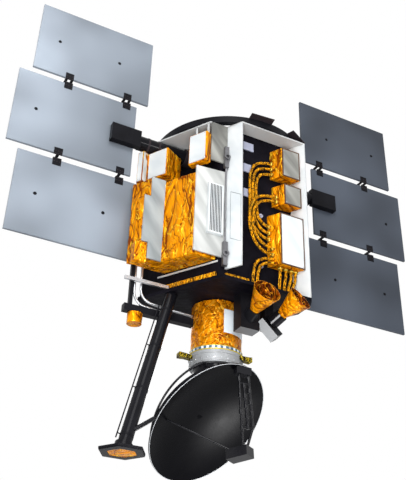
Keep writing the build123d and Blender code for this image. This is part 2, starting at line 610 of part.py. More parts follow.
# x and depth at each end
FEED_TUBES = (
    (-60.0, 1930.0, -22.0, 2520.0), (-20.0, 2031.0, 14.0, 2353.0), (14.0, 1930.0, 52.0, 2339.0),
    (-52.0, 2031.0, 25.0, 2031.0), (-31.0, 2341.0, 52.0, 2341.0), (52.0, 2339.0, -4.0, 2520.0),
)
FEED_BOX_AT = (-48.0, -325.0, 2530.0)
FEED_BOX_ALONG = (0.5, -0.85, 0.1)
FEED_BOX_SIZE = (161.0, 98.0, 68.0)
STRUT_END = (-322.0, -112.0)
STRUT_R = 7.0
feed_box_at = Vector(FEED_BOX_AT[0], FEED_BOX_AT[1], drop(FEED_BOX_AT[2]))
box_way = Vector(*FEED_BOX_ALONG).normalized()
box_face = facing - box_way * facing.dot(box_way)
feed = Plane(origin=feed_box_at, x_dir=box_way, z_dir=box_face).location * Box(*FEED_BOX_SIZE)
for x_top, top, x_low, low in FEED_TUBES:
    feed += rod((x_top, FEED_Y, drop(top)), (x_low, FEED_Y, drop(low)), FEED_R)
feed += block(FEED_BRACKET_X, FEED_BRACKET_Y, (drop(FEED_BRACKET_DROPS[0]), drop(FEED_BRACKET_DROPS[1])))
strut_reach = STRUT_END[0] ** 2 + STRUT_END[1] ** 2
strut_foot = dish_at * Pos(STRUT_END[0], STRUT_END[1], ball_h - sqrt(ball_r ** 2 - strut_reach))
feed += rod(strut_foot.position, feed_box_at, STRUT_R)
feed -= dish + dish_rim
feed -= rod((SPIN_X, SPIN_Y, spin_top - SPIN_L), (SPIN_X, SPIN_Y, spin_top), SPIN_R)
save("feed", feed)

# Frame of pipes and beams under the left corner, ending on the drum.
FRAME_Y = -130.0
BEAM_Y = (-157.0, -103.0)
BEAM_X = (-892.0, SPIN_X)
BEAM_DROPS = (1547.0, 1600.0)
POST_X = (-857.0, -831.0)
POST_Y = (-150.0, -120.0)
BAR_Y = (-176.0, -158.0)
BAR_X = (-912.0, -567.0)
BAR_DROPS = (1340.0, 1366.0)
PIPE_R = 9.0
# pipe routes in the frame's plane, as x and depth
FRAME_PIPES = (
    ((-817.0, 1222.0), (-817.0, 1526.0), (-604.0, 1541.0), (-604.0, 1560.0)),
    ((-767.0, 1222.0), (-767.0, 1487.0), (-560.0, 1506.0), (SPIN_X, 1520.0)),
)
CANISTER_X = -798.0
CANISTER_R = 56.0
CANISTER_DROPS = (1600.3, 1684.0)
SLANT_PIPE = ((-700.0, 1300.0), (-610.0, 1425.0))
post = block(POST_X, POST_Y, (drop(BEAM_DROPS[0]), drop(BOX_DROPS[1])))
beam = block(BEAM_X, BEAM_Y, (drop(BEAM_DROPS[1]), drop(BEAM_DROPS[0])))
save("frame_beams", post + (beam - drum))
pipes = [bent_tube([(x, FRAME_Y, drop(depth)) for x, depth in route], PIPE_R) for route in FRAME_PIPES]
bar = block(BAR_X, BAR_Y, (drop(BAR_DROPS[1]), drop(BAR_DROPS[0])))
save("frame_pipes", group([pipe_line - drum - beam for pipe_line in pipes] + [bar]))
canister = rod((CANISTER_X, FRAME_Y, drop(CANISTER_DROPS[1])), (CANISTER_X, FRAME_Y, drop(CANISTER_DROPS[0])),
               CANISTER_R)
save("canister", canister)

# Fixed mast down to a hexagonal pad, with its conduit and a side arm.
MAST_TOP = (-556.0, -205.0, 1425.0)
MAST_FOOT = (-930.0, -450.0, 2670.0)
MAST_R = 44.0
MAST_COLLAR_R = 58.0
MAST_COLLAR_H = 40.0
PAD_R = 153.0
PAD_PLATE_T = 14.0
PAD_FACE_R = 132.0
PAD_FACE_T = 5.0
CONDUIT_R = 12.0
CONDUIT_ENDS = (60.0, 1130.0)
SIDE_ARM_FROM = (-867.0, -450.0, 2537.0)
SIDE_ARM_TO = (-732.0, -450.0, 2438.0)
SIDE_ARM_R = 14.0
mast_top = Vector(MAST_TOP[0], MAST_TOP[1], drop(MAST_TOP[2]))
mast_foot = Vector(MAST_FOOT[0], MAST_FOOT[1], drop(MAST_FOOT[2]))
mast_at = Plane(origin=mast_foot, x_dir=(1, 0, 0), z_dir=mast_top - mast_foot).location
mast_l = (mast_top - mast_foot).length
mast = Pos(0, 0, -2 * MAST_R) * Cylinder(MAST_R, mast_l + 4 * MAST_R, align=low_end)
mast += Pos(0, 0, -MAST_COLLAR_H) * Cylinder(MAST_COLLAR_R, 2 * MAST_COLLAR_H, align=low_end)
mast = mast_at * mast
mast += rod((SIDE_ARM_FROM[0], SIDE_ARM_FROM[1], drop(SIDE_ARM_FROM[2])),
            (SIDE_ARM_TO[0], SIDE_ARM_TO[1], drop(SIDE_ARM_TO[2])), SIDE_ARM_R)
between = block((-2 * SIDE, 2 * SIDE), (-2 * SIDE, 2 * SIDE), (mast_foot.Z, FLOOR))
save("mast", mast & between)
pad_at = Location(mast_foot)
pad_plate = extrude(make_face(RegularPolygon(PAD_R, 6).edges()), amount=PAD_PLATE_T)
save("mast_pad", pad_at * Pos(0, 0, -PAD_PLATE_T) * pad_plate)
gold_face = extrude(make_face(RegularPolygon(PAD_FACE_R, 6).edges()), amount=PAD_FACE_T)
save("mast_pad_face", pad_at * Pos(0, 0, -PAD_PLATE_T - PAD_FACE_T) * gold_face)
conduit = Pos(-MAST_R - CONDUIT_R, 0, CONDUIT_ENDS[0]) * Cylinder(CONDUIT_R, CONDUIT_ENDS[1], align=low_end)
save("mast_conduit", mast_at * conduit)

# Array drives in the pockets under the top deck.
left_drive = rod((-LEFT_DRIVE_X + DRIVE_DEEP, WING_Y, WING_Z), (-LEFT_DRIVE_X, WING_Y, WING_Z), DRIVE_R)
right_drive = rod((RIGHT_POCKET_X, WING_Y, WING_Z), (RIGHT_DRIVE_X, WING_Y, WING_Z), DRIVE_R)
bore_r = BOOM_R + PIN_CLEAR
left_drive -= rod((-LEFT_DRIVE_X + DRIVE_BORE_L, WING_Y, WING_Z), (-SIDE, WING_Y, WING_Z), bore_r)
right_drive -= rod((RIGHT_DRIVE_X - DRIVE_BORE_L, WING_Y, WING_Z), (SIDE, WING_Y, WING_Z), bore_r)
save("array_drives", group([left_drive, right_drive]))


def wing_block(sign, x_pair, y_pair, z_pair):
    """A block given by its distance out along the wing and its height over the boom."""
    return block([sign * x for x in x_pair], y_pair, [WING_Z + z for z in z_pair])


def hinge_leaf(sign, x, up, pin_y, outer):
    """One leaf: a lap plate on the panel's front, and arms over its edge that end in knuckles."""
    half, third = HINGE_W / 2, HINGE_W / 3
    pin_h = (PANEL_H + PANEL_GAP) / 2
    edge, way = (pin_h + PANEL_GAP / 2, -1) if outer else (PANEL_H / 2, 1)
    front = WING_Y - PANEL_THICK / 2
    near = edge + way * EDGE_GAP
    ledge = near + way * ARM_T
    wide = (x - half, x + half)
    leaf = wing_block(sign, wide, (front - LEAF_T, front), [up * (edge - way * LEAF_LAP), up * ledge])
    spans = [(x - half, x - third / 2 - KNUCKLE_GAP), (x + third / 2 + KNUCKLE_GAP, x + half)]
    if not outer:
        spans = [(x - third / 2, x + third / 2)]
    pin_z = WING_Z + up * pin_h
    for span in spans:
        leaf += wing_block(sign, span, (front - LEAF_T, pin_y + KNUCKLE_R), [up * near, up * ledge])
        leaf += wing_block(sign, span, (pin_y - KNUCKLE_R, pin_y + KNUCKLE_R), [up * ledge, up * pin_h])
        leaf += rod((sign * span[0], pin_y, pin_z), (sign * span[1], pin_y, pin_z), KNUCKLE_R)
    pin_r = PIN_R + PIN_CLEAR if outer else PIN_R
    pin = rod((sign * wide[0], pin_y, pin_z), (sign * wide[1], pin_y, pin_z), pin_r)
    return leaf - pin if outer else leaf + pin


def stud(sign, x, height):
    front = WING_Y - PANEL_THICK / 2
    return rod((sign * x, front, WING_Z + height), (sign * x, front - STUD_T, WING_Z + height), STUD_R)


# Two solar wings, each a boom, a yoke and three panels that fold on hinges.
pitch = PANEL_H + PANEL_GAP
for side, sign, inner, drive_x in (("left", -1, LEFT_INNER, LEFT_DRIVE_X), ("right", 1, RIGHT_INNER, RIGHT_DRIVE_X)):
    name = "wing_" + side
    mid_x = inner + MID_OUT
    yoke_x = mid_x - YOKE_BACK
    boom_in = drive_x - BOOM_END
    boom = pipe((sign * boom_in, WING_Y, WING_Z), (sign * yoke_x, WING_Y, WING_Z), BOOM_R, BOOM_WALL)
    boom += rod((sign * (yoke_x - BOOM_WALL), WING_Y, WING_Z), (sign * yoke_x, WING_Y, WING_Z), BOOM_R)
    save(name + "_boom", boom)
    front = WING_Y - PANEL_THICK / 2
    yoke = wing_block(sign, (yoke_x, yoke_x + YOKE_L), (front - CLEAR - YOKE_D, front - CLEAR),
                      (-YOKE_H / 2, YOKE_H / 2))
    save(name + "_yoke", yoke)
    panel_y = (WING_Y - PANEL_THICK / 2, WING_Y + PANEL_THICK / 2)
    save(name + "_middle", wing_block(sign, (mid_x, mid_x + PANEL_L), panel_y, (-PANEL_H / 2, PANEL_H / 2)))
    hinge_xs = [mid_x + share * PANEL_L for share in HINGE_SHARES]
    fittings = [hinge_leaf(sign, x, up, pin_y, False)
                for up, pin_y in ((1, WING_Y + PIN_UP), (-1, WING_Y + PIN_DOWN)) for x in hinge_xs]
    fittings.append(stud(sign, mid_x + STUD_SHARES[1] * PANEL_L, 0))
    save(name + "_middle_fittings", group(fittings))
    for level, up, pin_y in (("upper", 1, WING_Y + PIN_UP), ("lower", -1, WING_Y + PIN_DOWN)):
        height = up * pitch
        panel = wing_block(sign, (inner, inner + PANEL_L), panel_y, (height - PANEL_H / 2, height + PANEL_H / 2))
        save(name + "_" + level, panel)
        leaves = [hinge_leaf(sign, x, up, pin_y, True) for x in hinge_xs]
        leaves += [stud(sign, inner + share * PANEL_L, height) for share in STUD_SHARES]
        save(name + "_" + level + "_fittings", group(leaves))
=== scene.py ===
import json
import math
import bmesh
import bpy
import numpy as np
from mathutils import Matrix, Vector

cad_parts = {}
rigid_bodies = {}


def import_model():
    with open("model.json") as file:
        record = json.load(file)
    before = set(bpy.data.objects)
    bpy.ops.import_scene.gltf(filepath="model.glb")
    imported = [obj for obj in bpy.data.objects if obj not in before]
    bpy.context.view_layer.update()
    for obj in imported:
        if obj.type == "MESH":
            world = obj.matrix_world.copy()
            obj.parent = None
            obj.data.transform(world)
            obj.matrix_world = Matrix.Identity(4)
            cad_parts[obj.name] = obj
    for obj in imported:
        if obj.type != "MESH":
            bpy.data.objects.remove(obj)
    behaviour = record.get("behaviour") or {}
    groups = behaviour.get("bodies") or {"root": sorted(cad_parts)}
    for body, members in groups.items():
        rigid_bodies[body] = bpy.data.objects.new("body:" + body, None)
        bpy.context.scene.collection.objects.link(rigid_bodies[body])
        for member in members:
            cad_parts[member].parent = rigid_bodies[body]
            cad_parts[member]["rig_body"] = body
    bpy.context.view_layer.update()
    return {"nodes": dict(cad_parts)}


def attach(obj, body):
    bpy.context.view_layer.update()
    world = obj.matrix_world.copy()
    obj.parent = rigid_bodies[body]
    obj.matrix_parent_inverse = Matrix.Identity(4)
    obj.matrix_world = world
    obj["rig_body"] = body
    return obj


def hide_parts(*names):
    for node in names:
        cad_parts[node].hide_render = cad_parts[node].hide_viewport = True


# Looks of the earth observation satellite. Metres, +Z up, the front bay faces -Y.
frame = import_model()
nodes = frame["nodes"]
body_of_node = {name: node["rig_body"] for name, node in nodes.items()}

UP = Vector((0, 0, 1))
EAST = Vector((1, 0, 0))
FRONT_WAY = Vector((0, -1, 0))


def new_object(name, data):
    """An object in the scene that shows a mesh, a lamp or a camera."""
    made = bpy.data.objects.new(name, data)
    bpy.context.scene.collection.objects.link(made)
    return made


# Camera, solved from the photograph on the bus and the wings. Angles in degrees.
CAMERA_AT = (-2.6205, -4.8823, -4.0646)
CAMERA_YAW = 26.226
CAMERA_PITCH = 30.76
CAMERA_ROLL = 1.99
CAMERA_REACH = 100.0
FOCAL_PX = 787.23
LONG_SIDE_PX = 480
SENSOR_MM = 36.0


def add_camera():
    yaw, pitch, roll = (math.radians(angle) for angle in (CAMERA_YAW, CAMERA_PITCH, CAMERA_ROLL))
    forward = Vector((math.sin(yaw) * math.cos(pitch), math.cos(yaw) * math.cos(pitch), math.sin(pitch)))
    right = Vector((math.cos(yaw), -math.sin(yaw), 0.0))
    up = right.cross(forward)
    turn = Matrix((right, up, -forward)).transposed() @ Matrix.Rotation(roll, 3, "Z")
    data = bpy.data.cameras.new("camera")
    data.sensor_width = SENSOR_MM
    data.lens = FOCAL_PX * SENSOR_MM / LONG_SIDE_PX
    data.clip_end = CAMERA_REACH
    camera = new_object("camera", data)
    camera.matrix_world = Matrix.Translation(CAMERA_AT) @ turn.to_4x4()
    bpy.context.scene.camera = camera


# Sockets of the mix node: its share, its pair of numbers and its pair of colours.
MIX_SHARE = 0
MIX_NUMBERS = (2, 3)
MIX_NUMBER_OUT = 0
MIX_COLOURS = (6, 7)
MIX_COLOUR_OUT = 2
NOISE_MIDDLE = 0.5
RIDGE_GAIN = 4.0


def fill(node, settings):
    """Sets sockets of a shader node, by name or number, to plain values."""
    for socket, value in settings.items():
        node.inputs[socket].default_value = value


def combine(tree, operation, first, second):
    """A math node on two outputs, such as the smaller or the larger of them."""
    node = tree.nodes.new("ShaderNodeMath")
    node.operation = operation
    tree.links.new(first, node.inputs[0])
    tree.links.new(second, node.inputs[1])
    return node.outputs[0]


class Shader:
    """Builds one procedural material: a principled shader and the textures that feed it."""

    def __init__(self, name, rough, metal=0.0, coat=0.0, specular=0.5):
        self.material = bpy.data.materials.new(name)
        self.material.use_nodes = True
        self.tree = self.material.node_tree
        self.shader = self.tree.nodes["Principled BSDF"]
        fill(self.shader, {"Roughness": rough, "Metallic": metal, "Coat Weight": coat,
                           "Specular IOR Level": specular})
        self.place = self.add("ShaderNodeTexCoord").outputs["Object"]

    def add(self, kind, **values):
        node = self.tree.nodes.new(kind)
        for key, value in values.items():
            setattr(node, key, value)
        return node

    def link(self, start, end):
        self.tree.links.new(start, end)

    def noise(self, scale, detail=4.0, rough=0.55, distort=0.0, stretch=(1, 1, 1)):
        mapping = self.add("ShaderNodeMapping")
        fill(mapping, {"Scale": stretch})
        self.link(self.place, mapping.inputs["Vector"])
        node = self.add("ShaderNodeTexNoise")
        fill(node, {"Scale": scale, "Detail": detail, "Roughness": rough, "Distortion": distort})
        self.link(mapping.outputs["Vector"], node.inputs["Vector"])
        return node.outputs["Fac"]

    def ramp(self, value, stops):
        """A colour that follows a value through stops, each with its place and its colour."""
        node = self.add("ShaderNodeValToRGB")
        elements = node.color_ramp.elements
        while len(elements) < len(stops):
            elements.new(stops[-1][0])
        for element, (spot, colour) in zip(elements, stops):
            element.position = spot
            element.color = (*colour, 1.0)
        self.link(value, node.inputs["Fac"])
        return node.outputs["Color"]

    def span(self, value, low, high):
        """Stretches a value between 0 and 1 to the range between low and high."""
        node = self.add("ShaderNodeMapRange")
        fill(node, {"To Min": low, "To Max": high})
        self.link(value, node.inputs["Value"])
        return node.outputs["Result"]

    def mix(self, first, second, share):
        node = self.add("ShaderNodeMix", data_type="FLOAT")
        fill(node, {MIX_SHARE: share})
        self.link(first, node.inputs[MIX_NUMBERS[0]])
        self.link(second, node.inputs[MIX_NUMBERS[1]])
        return node.outputs[MIX_NUMBER_OUT]

    def tint(self, base, colour, share):
        """Turns a colour output into a plain colour where the share is high."""
        node = self.add("ShaderNodeMix", data_type="RGBA")
        self.link(share, node.inputs[MIX_SHARE])
        self.link(base, node.inputs[MIX_COLOURS[0]])
        fill(node, {MIX_COLOURS[1]: (*colour, 1.0)})
        return node.outputs[MIX_COLOUR_OUT]

    def math(self, operation, value, amount=0.0):
        node = self.add("ShaderNodeMath", operation=operation)
        self.link(value, node.inputs[0])
        fill(node, {1: amount})
        return node.outputs[0]

    def ridge(self, value):
        """Zero along the lines where the noise crosses its middle, so long thin curved creases."""
        away = self.math("ABSOLUTE", self.math("SUBTRACT", value, NOISE_MIDDLE))
        return self.math("MULTIPLY", away, RIDGE_GAIN)

    def bump(self, height, distance, strength):
        node = self.add("ShaderNodeBump")
        fill(node, {"Strength": strength, "Distance": distance})
        self.link(height, node.inputs["Height"])
        self.link(node.outputs["Normal"], self.shader.inputs["Normal"])

    def colour(self, output):
        self.link(output, self.shader.inputs["Base Color"])

    def roughness(self, output):
        self.link(output, self.shader.inputs["Roughness"])


# Foil: deep folds and finer cracks with painted shade in them, and bright glints that are painted highlights.
# Each has its share of the foil's scale, its detail, the roughness and distortion of its noise, and its share
# of the upright stretch.
FOLDS = (0.45, 1.5, 0.5, 1.8, 1.0)
CRACKS = (1.2, 2.5, 0.55, 1.4, 1.15)
GLINTS = (1.0, 2.0, 0.5, 1.8, 1.0)
CRACK_GAIN = 1.3
CRACK_SHARE = 0.4
CREASE_SHADE_SHARE = 0.70
FOLD_FADE = 2.4
FOLD_END = 0.4
# place on the ramp and grey of the painted glint highlights
GLINT_HIGHLIGHT_STOPS = ((0.0, 0.8), (0.03, 0.7), (0.07, 0.0), (1.0, 0.0))


def foil(name, dark, middle, light, scale, rough=0.28, crease=0.03, tall=0.36):
    """Wrinkled metal foil: smooth panes between long curved creases, with dark folds of painted shade and
    bright glints of painted highlight.
    """
    look = Shader(name, rough, metal=0.35, specular=0.06)
    folds, cracks, glints = (
        look.ridge(look.noise(scale * share, detail, grain, distort, (1.0, 1.0, tall * squash)))
        for share, detail, grain, distort, squash in (FOLDS, CRACKS, GLINTS))
    deep = [channel * CREASE_SHADE_SHARE for channel in middle]
    # Near the creases the tone falls to the dark colour: painted shade in the folds.
    nearest = combine(look.tree, "MINIMUM", folds, look.math("MULTIPLY", cracks, CRACK_GAIN))
    tone = look.ramp(nearest, [(0.0, dark), (crease, dark), (crease * FOLD_FADE, deep), (FOLD_END, middle)])
    # Along the glint lines the colour turns to the light colour: painted highlights.
    glint_highlight = look.ramp(glints, [(spot, (grey, grey, grey)) for spot, grey in GLINT_HIGHLIGHT_STOPS])
    look.colour(look.tint(tone, light, glint_highlight))
    look.bump(look.mix(folds, cracks, CRACK_SHARE), distance=0.045, strength=0.55)
    look.roughness(look.span(look.noise(scale * 1.5), rough - 0.06, rough + 0.12))
    return look.material


# Sheet and paint: the roughness wanders between two shares of its value.
SMOOTHER, ROUGHER = 0.85, 1.2
SHEEN_STREAK_SLANT = 38


def uneven(rough):
    return rough * SMOOTHER, min(1.0, rough * ROUGHER)


def sheen_streaked_sheet(name, low, high, rough, metal=0.0):
    """Smooth sheet with broad soft light and dark streaks that run across it at a slant: painted sheen."""
    look = Shader(name, rough, metal)
    turned = look.add("ShaderNodeMapping")
    fill(turned, {"Rotation": (0.0, math.radians(SHEEN_STREAK_SLANT), 0.0)})
    look.link(look.place, turned.inputs["Vector"])
    look.place = turned.outputs["Vector"]
    sheen_streaks = look.noise(6.0, detail=2.0, rough=0.4, distort=0.4, stretch=(1.6, 1.0, 0.35))
    # The streaks swing the colour between low and high: painted reflections on the sheet.
    look.colour(look.ramp(sheen_streaks, [(0.34, low), (0.66, high)]))
    look.roughness(look.span(look.noise(24.0), *uneven(rough)))
    look.bump(look.noise(200.0, detail=2.0), distance=0.0003, strength=0.4)
    return look.material


def paint(name, colour, rough, spread=0.06, grain=30.0, bump=0.0004, metal=0.0, specular=0.5, detail=5.0):
    """Paint or sheet with faint uneven tone and a fine surface."""
    look = Shader(name, rough, metal, specular=specular)
    low = [channel * (1 - spread) for channel in colour]
    high = [min(1.0, channel * (1 + spread)) for channel in colour]
    look.colour(look.ramp(look.noise(grain / 6, detail), [(0.3, low), (0.7, high)]))
    look.roughness(look.span(look.noise(grain), *uneven(rough)))
    look.bump(look.noise(grain * 8, detail=2.0), bump, strength=0.5)
    return look.material


def blanket(name, colour, rough):
    """Black thermal blanket with soft wrinkles."""
    look = Shader(name, rough, specular=0.03)
    wide = look.noise(7.0, detail=3.0, rough=0.5, distort=0.6)
    low = [channel * 0.7 for channel in colour]
    high = [channel * 1.5 for channel in colour]
    look.colour(look.ramp(wide, [(0.35, low), (0.7, high)]))
    look.roughness(look.span(look.noise(16.0), rough - 0.1, rough + 0.15))
    fine = look.noise(26.0, rough=0.6, distort=0.8)
    look.bump(look.mix(wide, fine, 0.5), distance=0.02, strength=0.35)
    return look.material


# Solar cells on the back of the panels: their width and height, and half the line between two of them.
CELL_PITCH = {"X": 0.0762, "Z": 0.0383}
CELL_LINE_HALF = 0.0012
CELL_TONES = ((0.008, 0.012, 0.045), (0.016, 0.03, 0.09))
CELL_LINE_TONE = (0.45, 0.47, 0.5)


def solar_cells(name):
    """Dark blue cells in a grid of thin pale lines."""
    look = Shader(name, rough=0.22, coat=0.3)
    parts = look.add("ShaderNodeSeparateXYZ")
    look.link(look.place, parts.inputs[0])
    lines = []
    for axis, pitch in CELL_PITCH.items():
        wave = look.math("PINGPONG", parts.outputs[axis], pitch / 2)
        lines.append(look.math("LESS_THAN", wave, CELL_LINE_HALF))
    grid = combine(look.tree, "MAXIMUM", *lines)
    cell = look.ramp(look.noise(14.0, detail=2.0), [(0.3, CELL_TONES[0]), (0.7, CELL_TONES[1])])
    look.colour(look.tint(cell, CELL_LINE_TONE, grid))
    return look.material


MATERIALS = {
    # Foil colours: dark for painted crease shade, the middle tone, light for painted glint highlights.
    "gold": foil("gold_foil", (0.22, 0.04, 0.001), (0.91, 0.31, 0.001), (1.0, 0.62, 0.03), scale=8.0),
    "drum_gold": foil("drum_gold", (0.22, 0.04, 0.001), (0.82, 0.26, 0.001), (1.0, 0.60, 0.06),
                      scale=9.0, tall=0.85),
    "cable_gold": foil("cable_gold", (0.05, 0.02, 0.002), (0.92, 0.37, 0.003), (1.0, 0.60, 0.05),
                       scale=40.0, rough=0.4, crease=0.07),
    "cup_inside_shade": foil("cup_inside_shade", (0.04, 0.007, 0.001), (0.30, 0.06, 0.001), (0.9, 0.35, 0.01),
                       scale=13.0, rough=0.4, crease=0.10),
    "olive": foil("olive_gold", (0.02, 0.012, 0.001), (0.42, 0.30, 0.01), (0.9, 0.75, 0.12),
                  scale=30.0, rough=0.35, crease=0.12),
    "white": sheen_streaked_sheet("white_paint", (0.60, 0.64, 0.66), (0.75, 0.77, 0.77), rough=0.42),
    "sheet_white": sheen_streaked_sheet("sheet_white", (0.38, 0.39, 0.38), (0.68, 0.69, 0.67), rough=0.36),
    "steel": sheen_streaked_sheet("steel_sheet", (0.21, 0.24, 0.25), (0.37, 0.41, 0.42), rough=0.36, metal=0.1),
    "grey": sheen_streaked_sheet("grey_paint", (0.13, 0.13, 0.12), (0.36, 0.36, 0.33), rough=0.34, metal=0.15),
    "blanket": blanket("black_blanket", (0.005, 0.0045, 0.007), rough=0.45),
    "cells": solar_cells("solar_cells"),
    "pad": paint("pad_grey", (0.33, 0.35, 0.45), 0.4),
    "deck_grey": paint("deck_grey", (0.52, 0.53, 0.53), 0.45),
    "lit_underside_grey": paint("slate_grey", (0.14, 0.145, 0.155), 0.45),
    "lit_face_grey": paint("ash_grey", (0.30, 0.31, 0.32), 0.45),
    "rim": paint("rim_grey", (0.5, 0.52, 0.54), 0.4),
    "patch": paint("white_patch", (0.74, 0.80, 0.84), 0.35, spread=0.05, grain=20.0),
    "brown": paint("brown_edge", (0.07, 0.028, 0.010), 0.5, spread=0.3, grain=60.0),
    "band": paint("band_blue", (0.05, 0.11, 0.18), 0.4, spread=0.2, grain=60.0),
    "black": paint("black_metal", (0.007, 0.007, 0.009), 0.34, spread=0.3, grain=40.0, specular=0.06),
    "dark": paint("dark_metal", (0.026, 0.020, 0.023), 0.42, spread=0.25, grain=40.0, specular=0.08),
    "gloss": paint("gloss_black", (0.006, 0.006, 0.008), 0.16, spread=0.3, bump=0.0002, specular=0.10),
    "tube": paint("tube_black", (0.008, 0.008, 0.010), 0.18, spread=0.3, bump=0.0002, specular=0.18),
    "dish": paint("dish_black", (0.002, 0.002, 0.003), 0.27, spread=0.2, grain=14.0, bump=0.0,
                  specular=0.035),
    "rim_gold": paint("rim_gold", (0.62, 0.47, 0.06), 0.35, spread=0.25, grain=60.0, bump=0.001, metal=0.8),
    "metal": paint("bare_metal", (0.50, 0.51, 0.53), 0.3, spread=0.2, grain=50.0, bump=0.001, metal=0.9),
    "post": paint("post_metal", (0.17, 0.17, 0.18), 0.34, spread=0.3, grain=40.0, bump=0.0006, metal=0.8),
    "skirt": paint("skirt_metal", (0.30, 0.31, 0.32), 0.45, spread=0.3, grain=18.0, bump=0.0006,
                   metal=0.25, specular=0.2),
    "panel": paint("panel_sheet", (0.21, 0.24, 0.28), 0.36, spread=0.34, grain=9.0,
                   metal=0.35, specular=0.3, detail=1.0),
    # A darker copy of the panel sheet for the right wing: painted shade.
    "panel_painted_shade": paint("panel_sheet_painted_shade", (0.068, 0.080, 0.103), 0.36, spread=0.34, grain=9.0,
                        metal=0.2, specular=0.2, detail=1.0),
}
NODE_MATERIALS = {
    "gold": "left_box left_blocks face_boxes bay_boxes tracker_cups canister mast_pad_face",
    "cable_gold": "bay_cables harness",
    "drum_gold": "drum",
    "olive": "ring_brackets",
    "white": "corner_fin right_fin louvre rear_radiators face_plates",
    "sheet_white": "grille_panel",
    "steel": "stepped_radiator",
    "grey": "grey_panel bay_plates",
    "pad": "bay_fittings",
    "deck_grey": "top_deck",
    "blanket": "bus_core bay_wall bottom_deck closure_panels",
    "black": "adapter_ring tracker_mounts frame_beams mast_pad dish_frame dish_rim",
    "gloss": "spun_drum mast",
    "tube": "feed",
    "dark": "ring_tabs array_drives",
    "metal": "frame_pipes",
    "skirt": "skirt",
    "post": "hinge_post",
    "band": "drum_band",
    "dish": "dish",
}
PANEL_LEVELS = ("middle", "upper", "lower")
# Face tests: how well a face has to point one way, and how deep a slot's face lies in its node.
BACKWARD = 0.5
SAME_WAY = 0.99
SLOT_MARGIN = 0.003
# The bay plates whose middle is below this height are white.
LOW_PLATE_Z = -0.75
# outward from the tilted face of the star trackers' boxes
TILT_WAY = Vector((-0.657, -0.565, -0.498)).normalized()


def paint_nodes():
    for material, names in NODE_MATERIALS.items():
        for name in names.split():
            repaint(nodes[name], MATERIALS[material])
    for name, node in nodes.items():
        if name.startswith("wing_"):
            paint_wing_node(name, node)
    trackers = nodes["tracker_mounts"]
    add_face_material(nodes["bay_plates"], "white", lambda face: face.center.z < LOW_PLATE_Z)
    # The walls and floors of the louvre's slots are painted dark: painted shade in the recesses.
    add_face_material(nodes["louvre"], "dark", slot_test(nodes["louvre"]))
    # The trackers' tilted faces and undersides are painted lighter grey than the black boxes: painted light
    # from below.
    add_face_material(trackers, "lit_face_grey", lambda face: face.normal.dot(TILT_WAY) > SAME_WAY)
    add_face_material(trackers, "lit_underside_grey", lambda face: face.normal.z < -SAME_WAY)


def paint_wing_node(name, node):
    kind = name.split("_")[-1]
    if kind in PANEL_LEVELS:
        # The right wing's panels take the darker copy of the sheet: painted shade.
        repaint(node, MATERIALS["panel" if name.startswith("wing_left") else "panel_painted_shade"])
        add_face_material(node, "cells", lambda face: face.normal.y > BACKWARD)
    else:
        repaint(node, MATERIALS["gloss" if kind == "boom" else "black"])


def slot_test(node):
    """A test for the walls and floors of a node's slots, which lie inside its outer box."""
    spans = [(min(places), max(places)) for places in zip(*(vertex.co for vertex in node.data.vertices))]

    def in_slot(face):
        return all(low + SLOT_MARGIN < place < high - SLOT_MARGIN
                   for (low, high), place in zip(spans, face.center))
    return in_slot


def repaint(node, material):
    node.data.materials.clear()
    node.data.materials.append(material)
    for face in node.data.polygons:
        face.material_index = 0


def add_face_material(node, material, chosen):
    node.data.materials.append(MATERIALS[material])
    index = len(node.data.materials) - 1
    for face in node.data.polygons:
        if chosen(face):
            face.material_index = index


# Foil wrapping: each of the large gold solids gets a crumpled skin that stands for it.
CRUMPLE_SIZES = (0.17, 0.10, 0.06)
CRUMPLE_WAVES = 3
CRUMPLE_BEND = 0.3
FOIL_OUT = 0.001
WELD_GAP = 0.0001
# voxel size, crumple depth
FOIL_SKINS = {
    "left_box": (0.009, 0.011),
    "left_blocks": (0.006, 0.006),
    "face_boxes": (0.0055, 0.003),
    "bay_boxes": (0.0055, 0.004),
    "drum": (0.0075, 0.008),
    "canister": (0.005, 0.004),
    "ring_brackets": (0.0045, 0.009),
}
FOIL_FINISH = {"drum": "drum_gold", "ring_brackets": "olive"}
# The hangers of the face boxes, plain grey, are above this height and in front of this y.
HANGER_Z = -0.191
HANGER_Y = -0.3


def crumple(points, seed, sizes):
    """Heights of a crumpled sheet: straight creases in many directions, from 0 to 1."""
    rng = np.random.default_rng(seed)
    total = np.zeros(len(points))
    full = 0.0
    for size in sizes:
        for wave in range(CRUMPLE_WAVES):
            way = rng.normal(size=3)
            way /= np.linalg.norm(way)
            side = rng.normal(size=3)
            bend = CRUMPLE_BEND * np.sin(points @ side / size)
            total += size * np.abs((points @ way / size + rng.random() + bend) % 1.0 - 0.5)
            full += size * 0.5
    return total / full


def vertex_rows(mesh, attribute):
    """An array with one row of three numbers for each vertex."""
    flat = np.empty(len(mesh.vertices) * 3)
    mesh.vertices.foreach_get(attribute, flat)
    return flat.reshape(-1, 3)


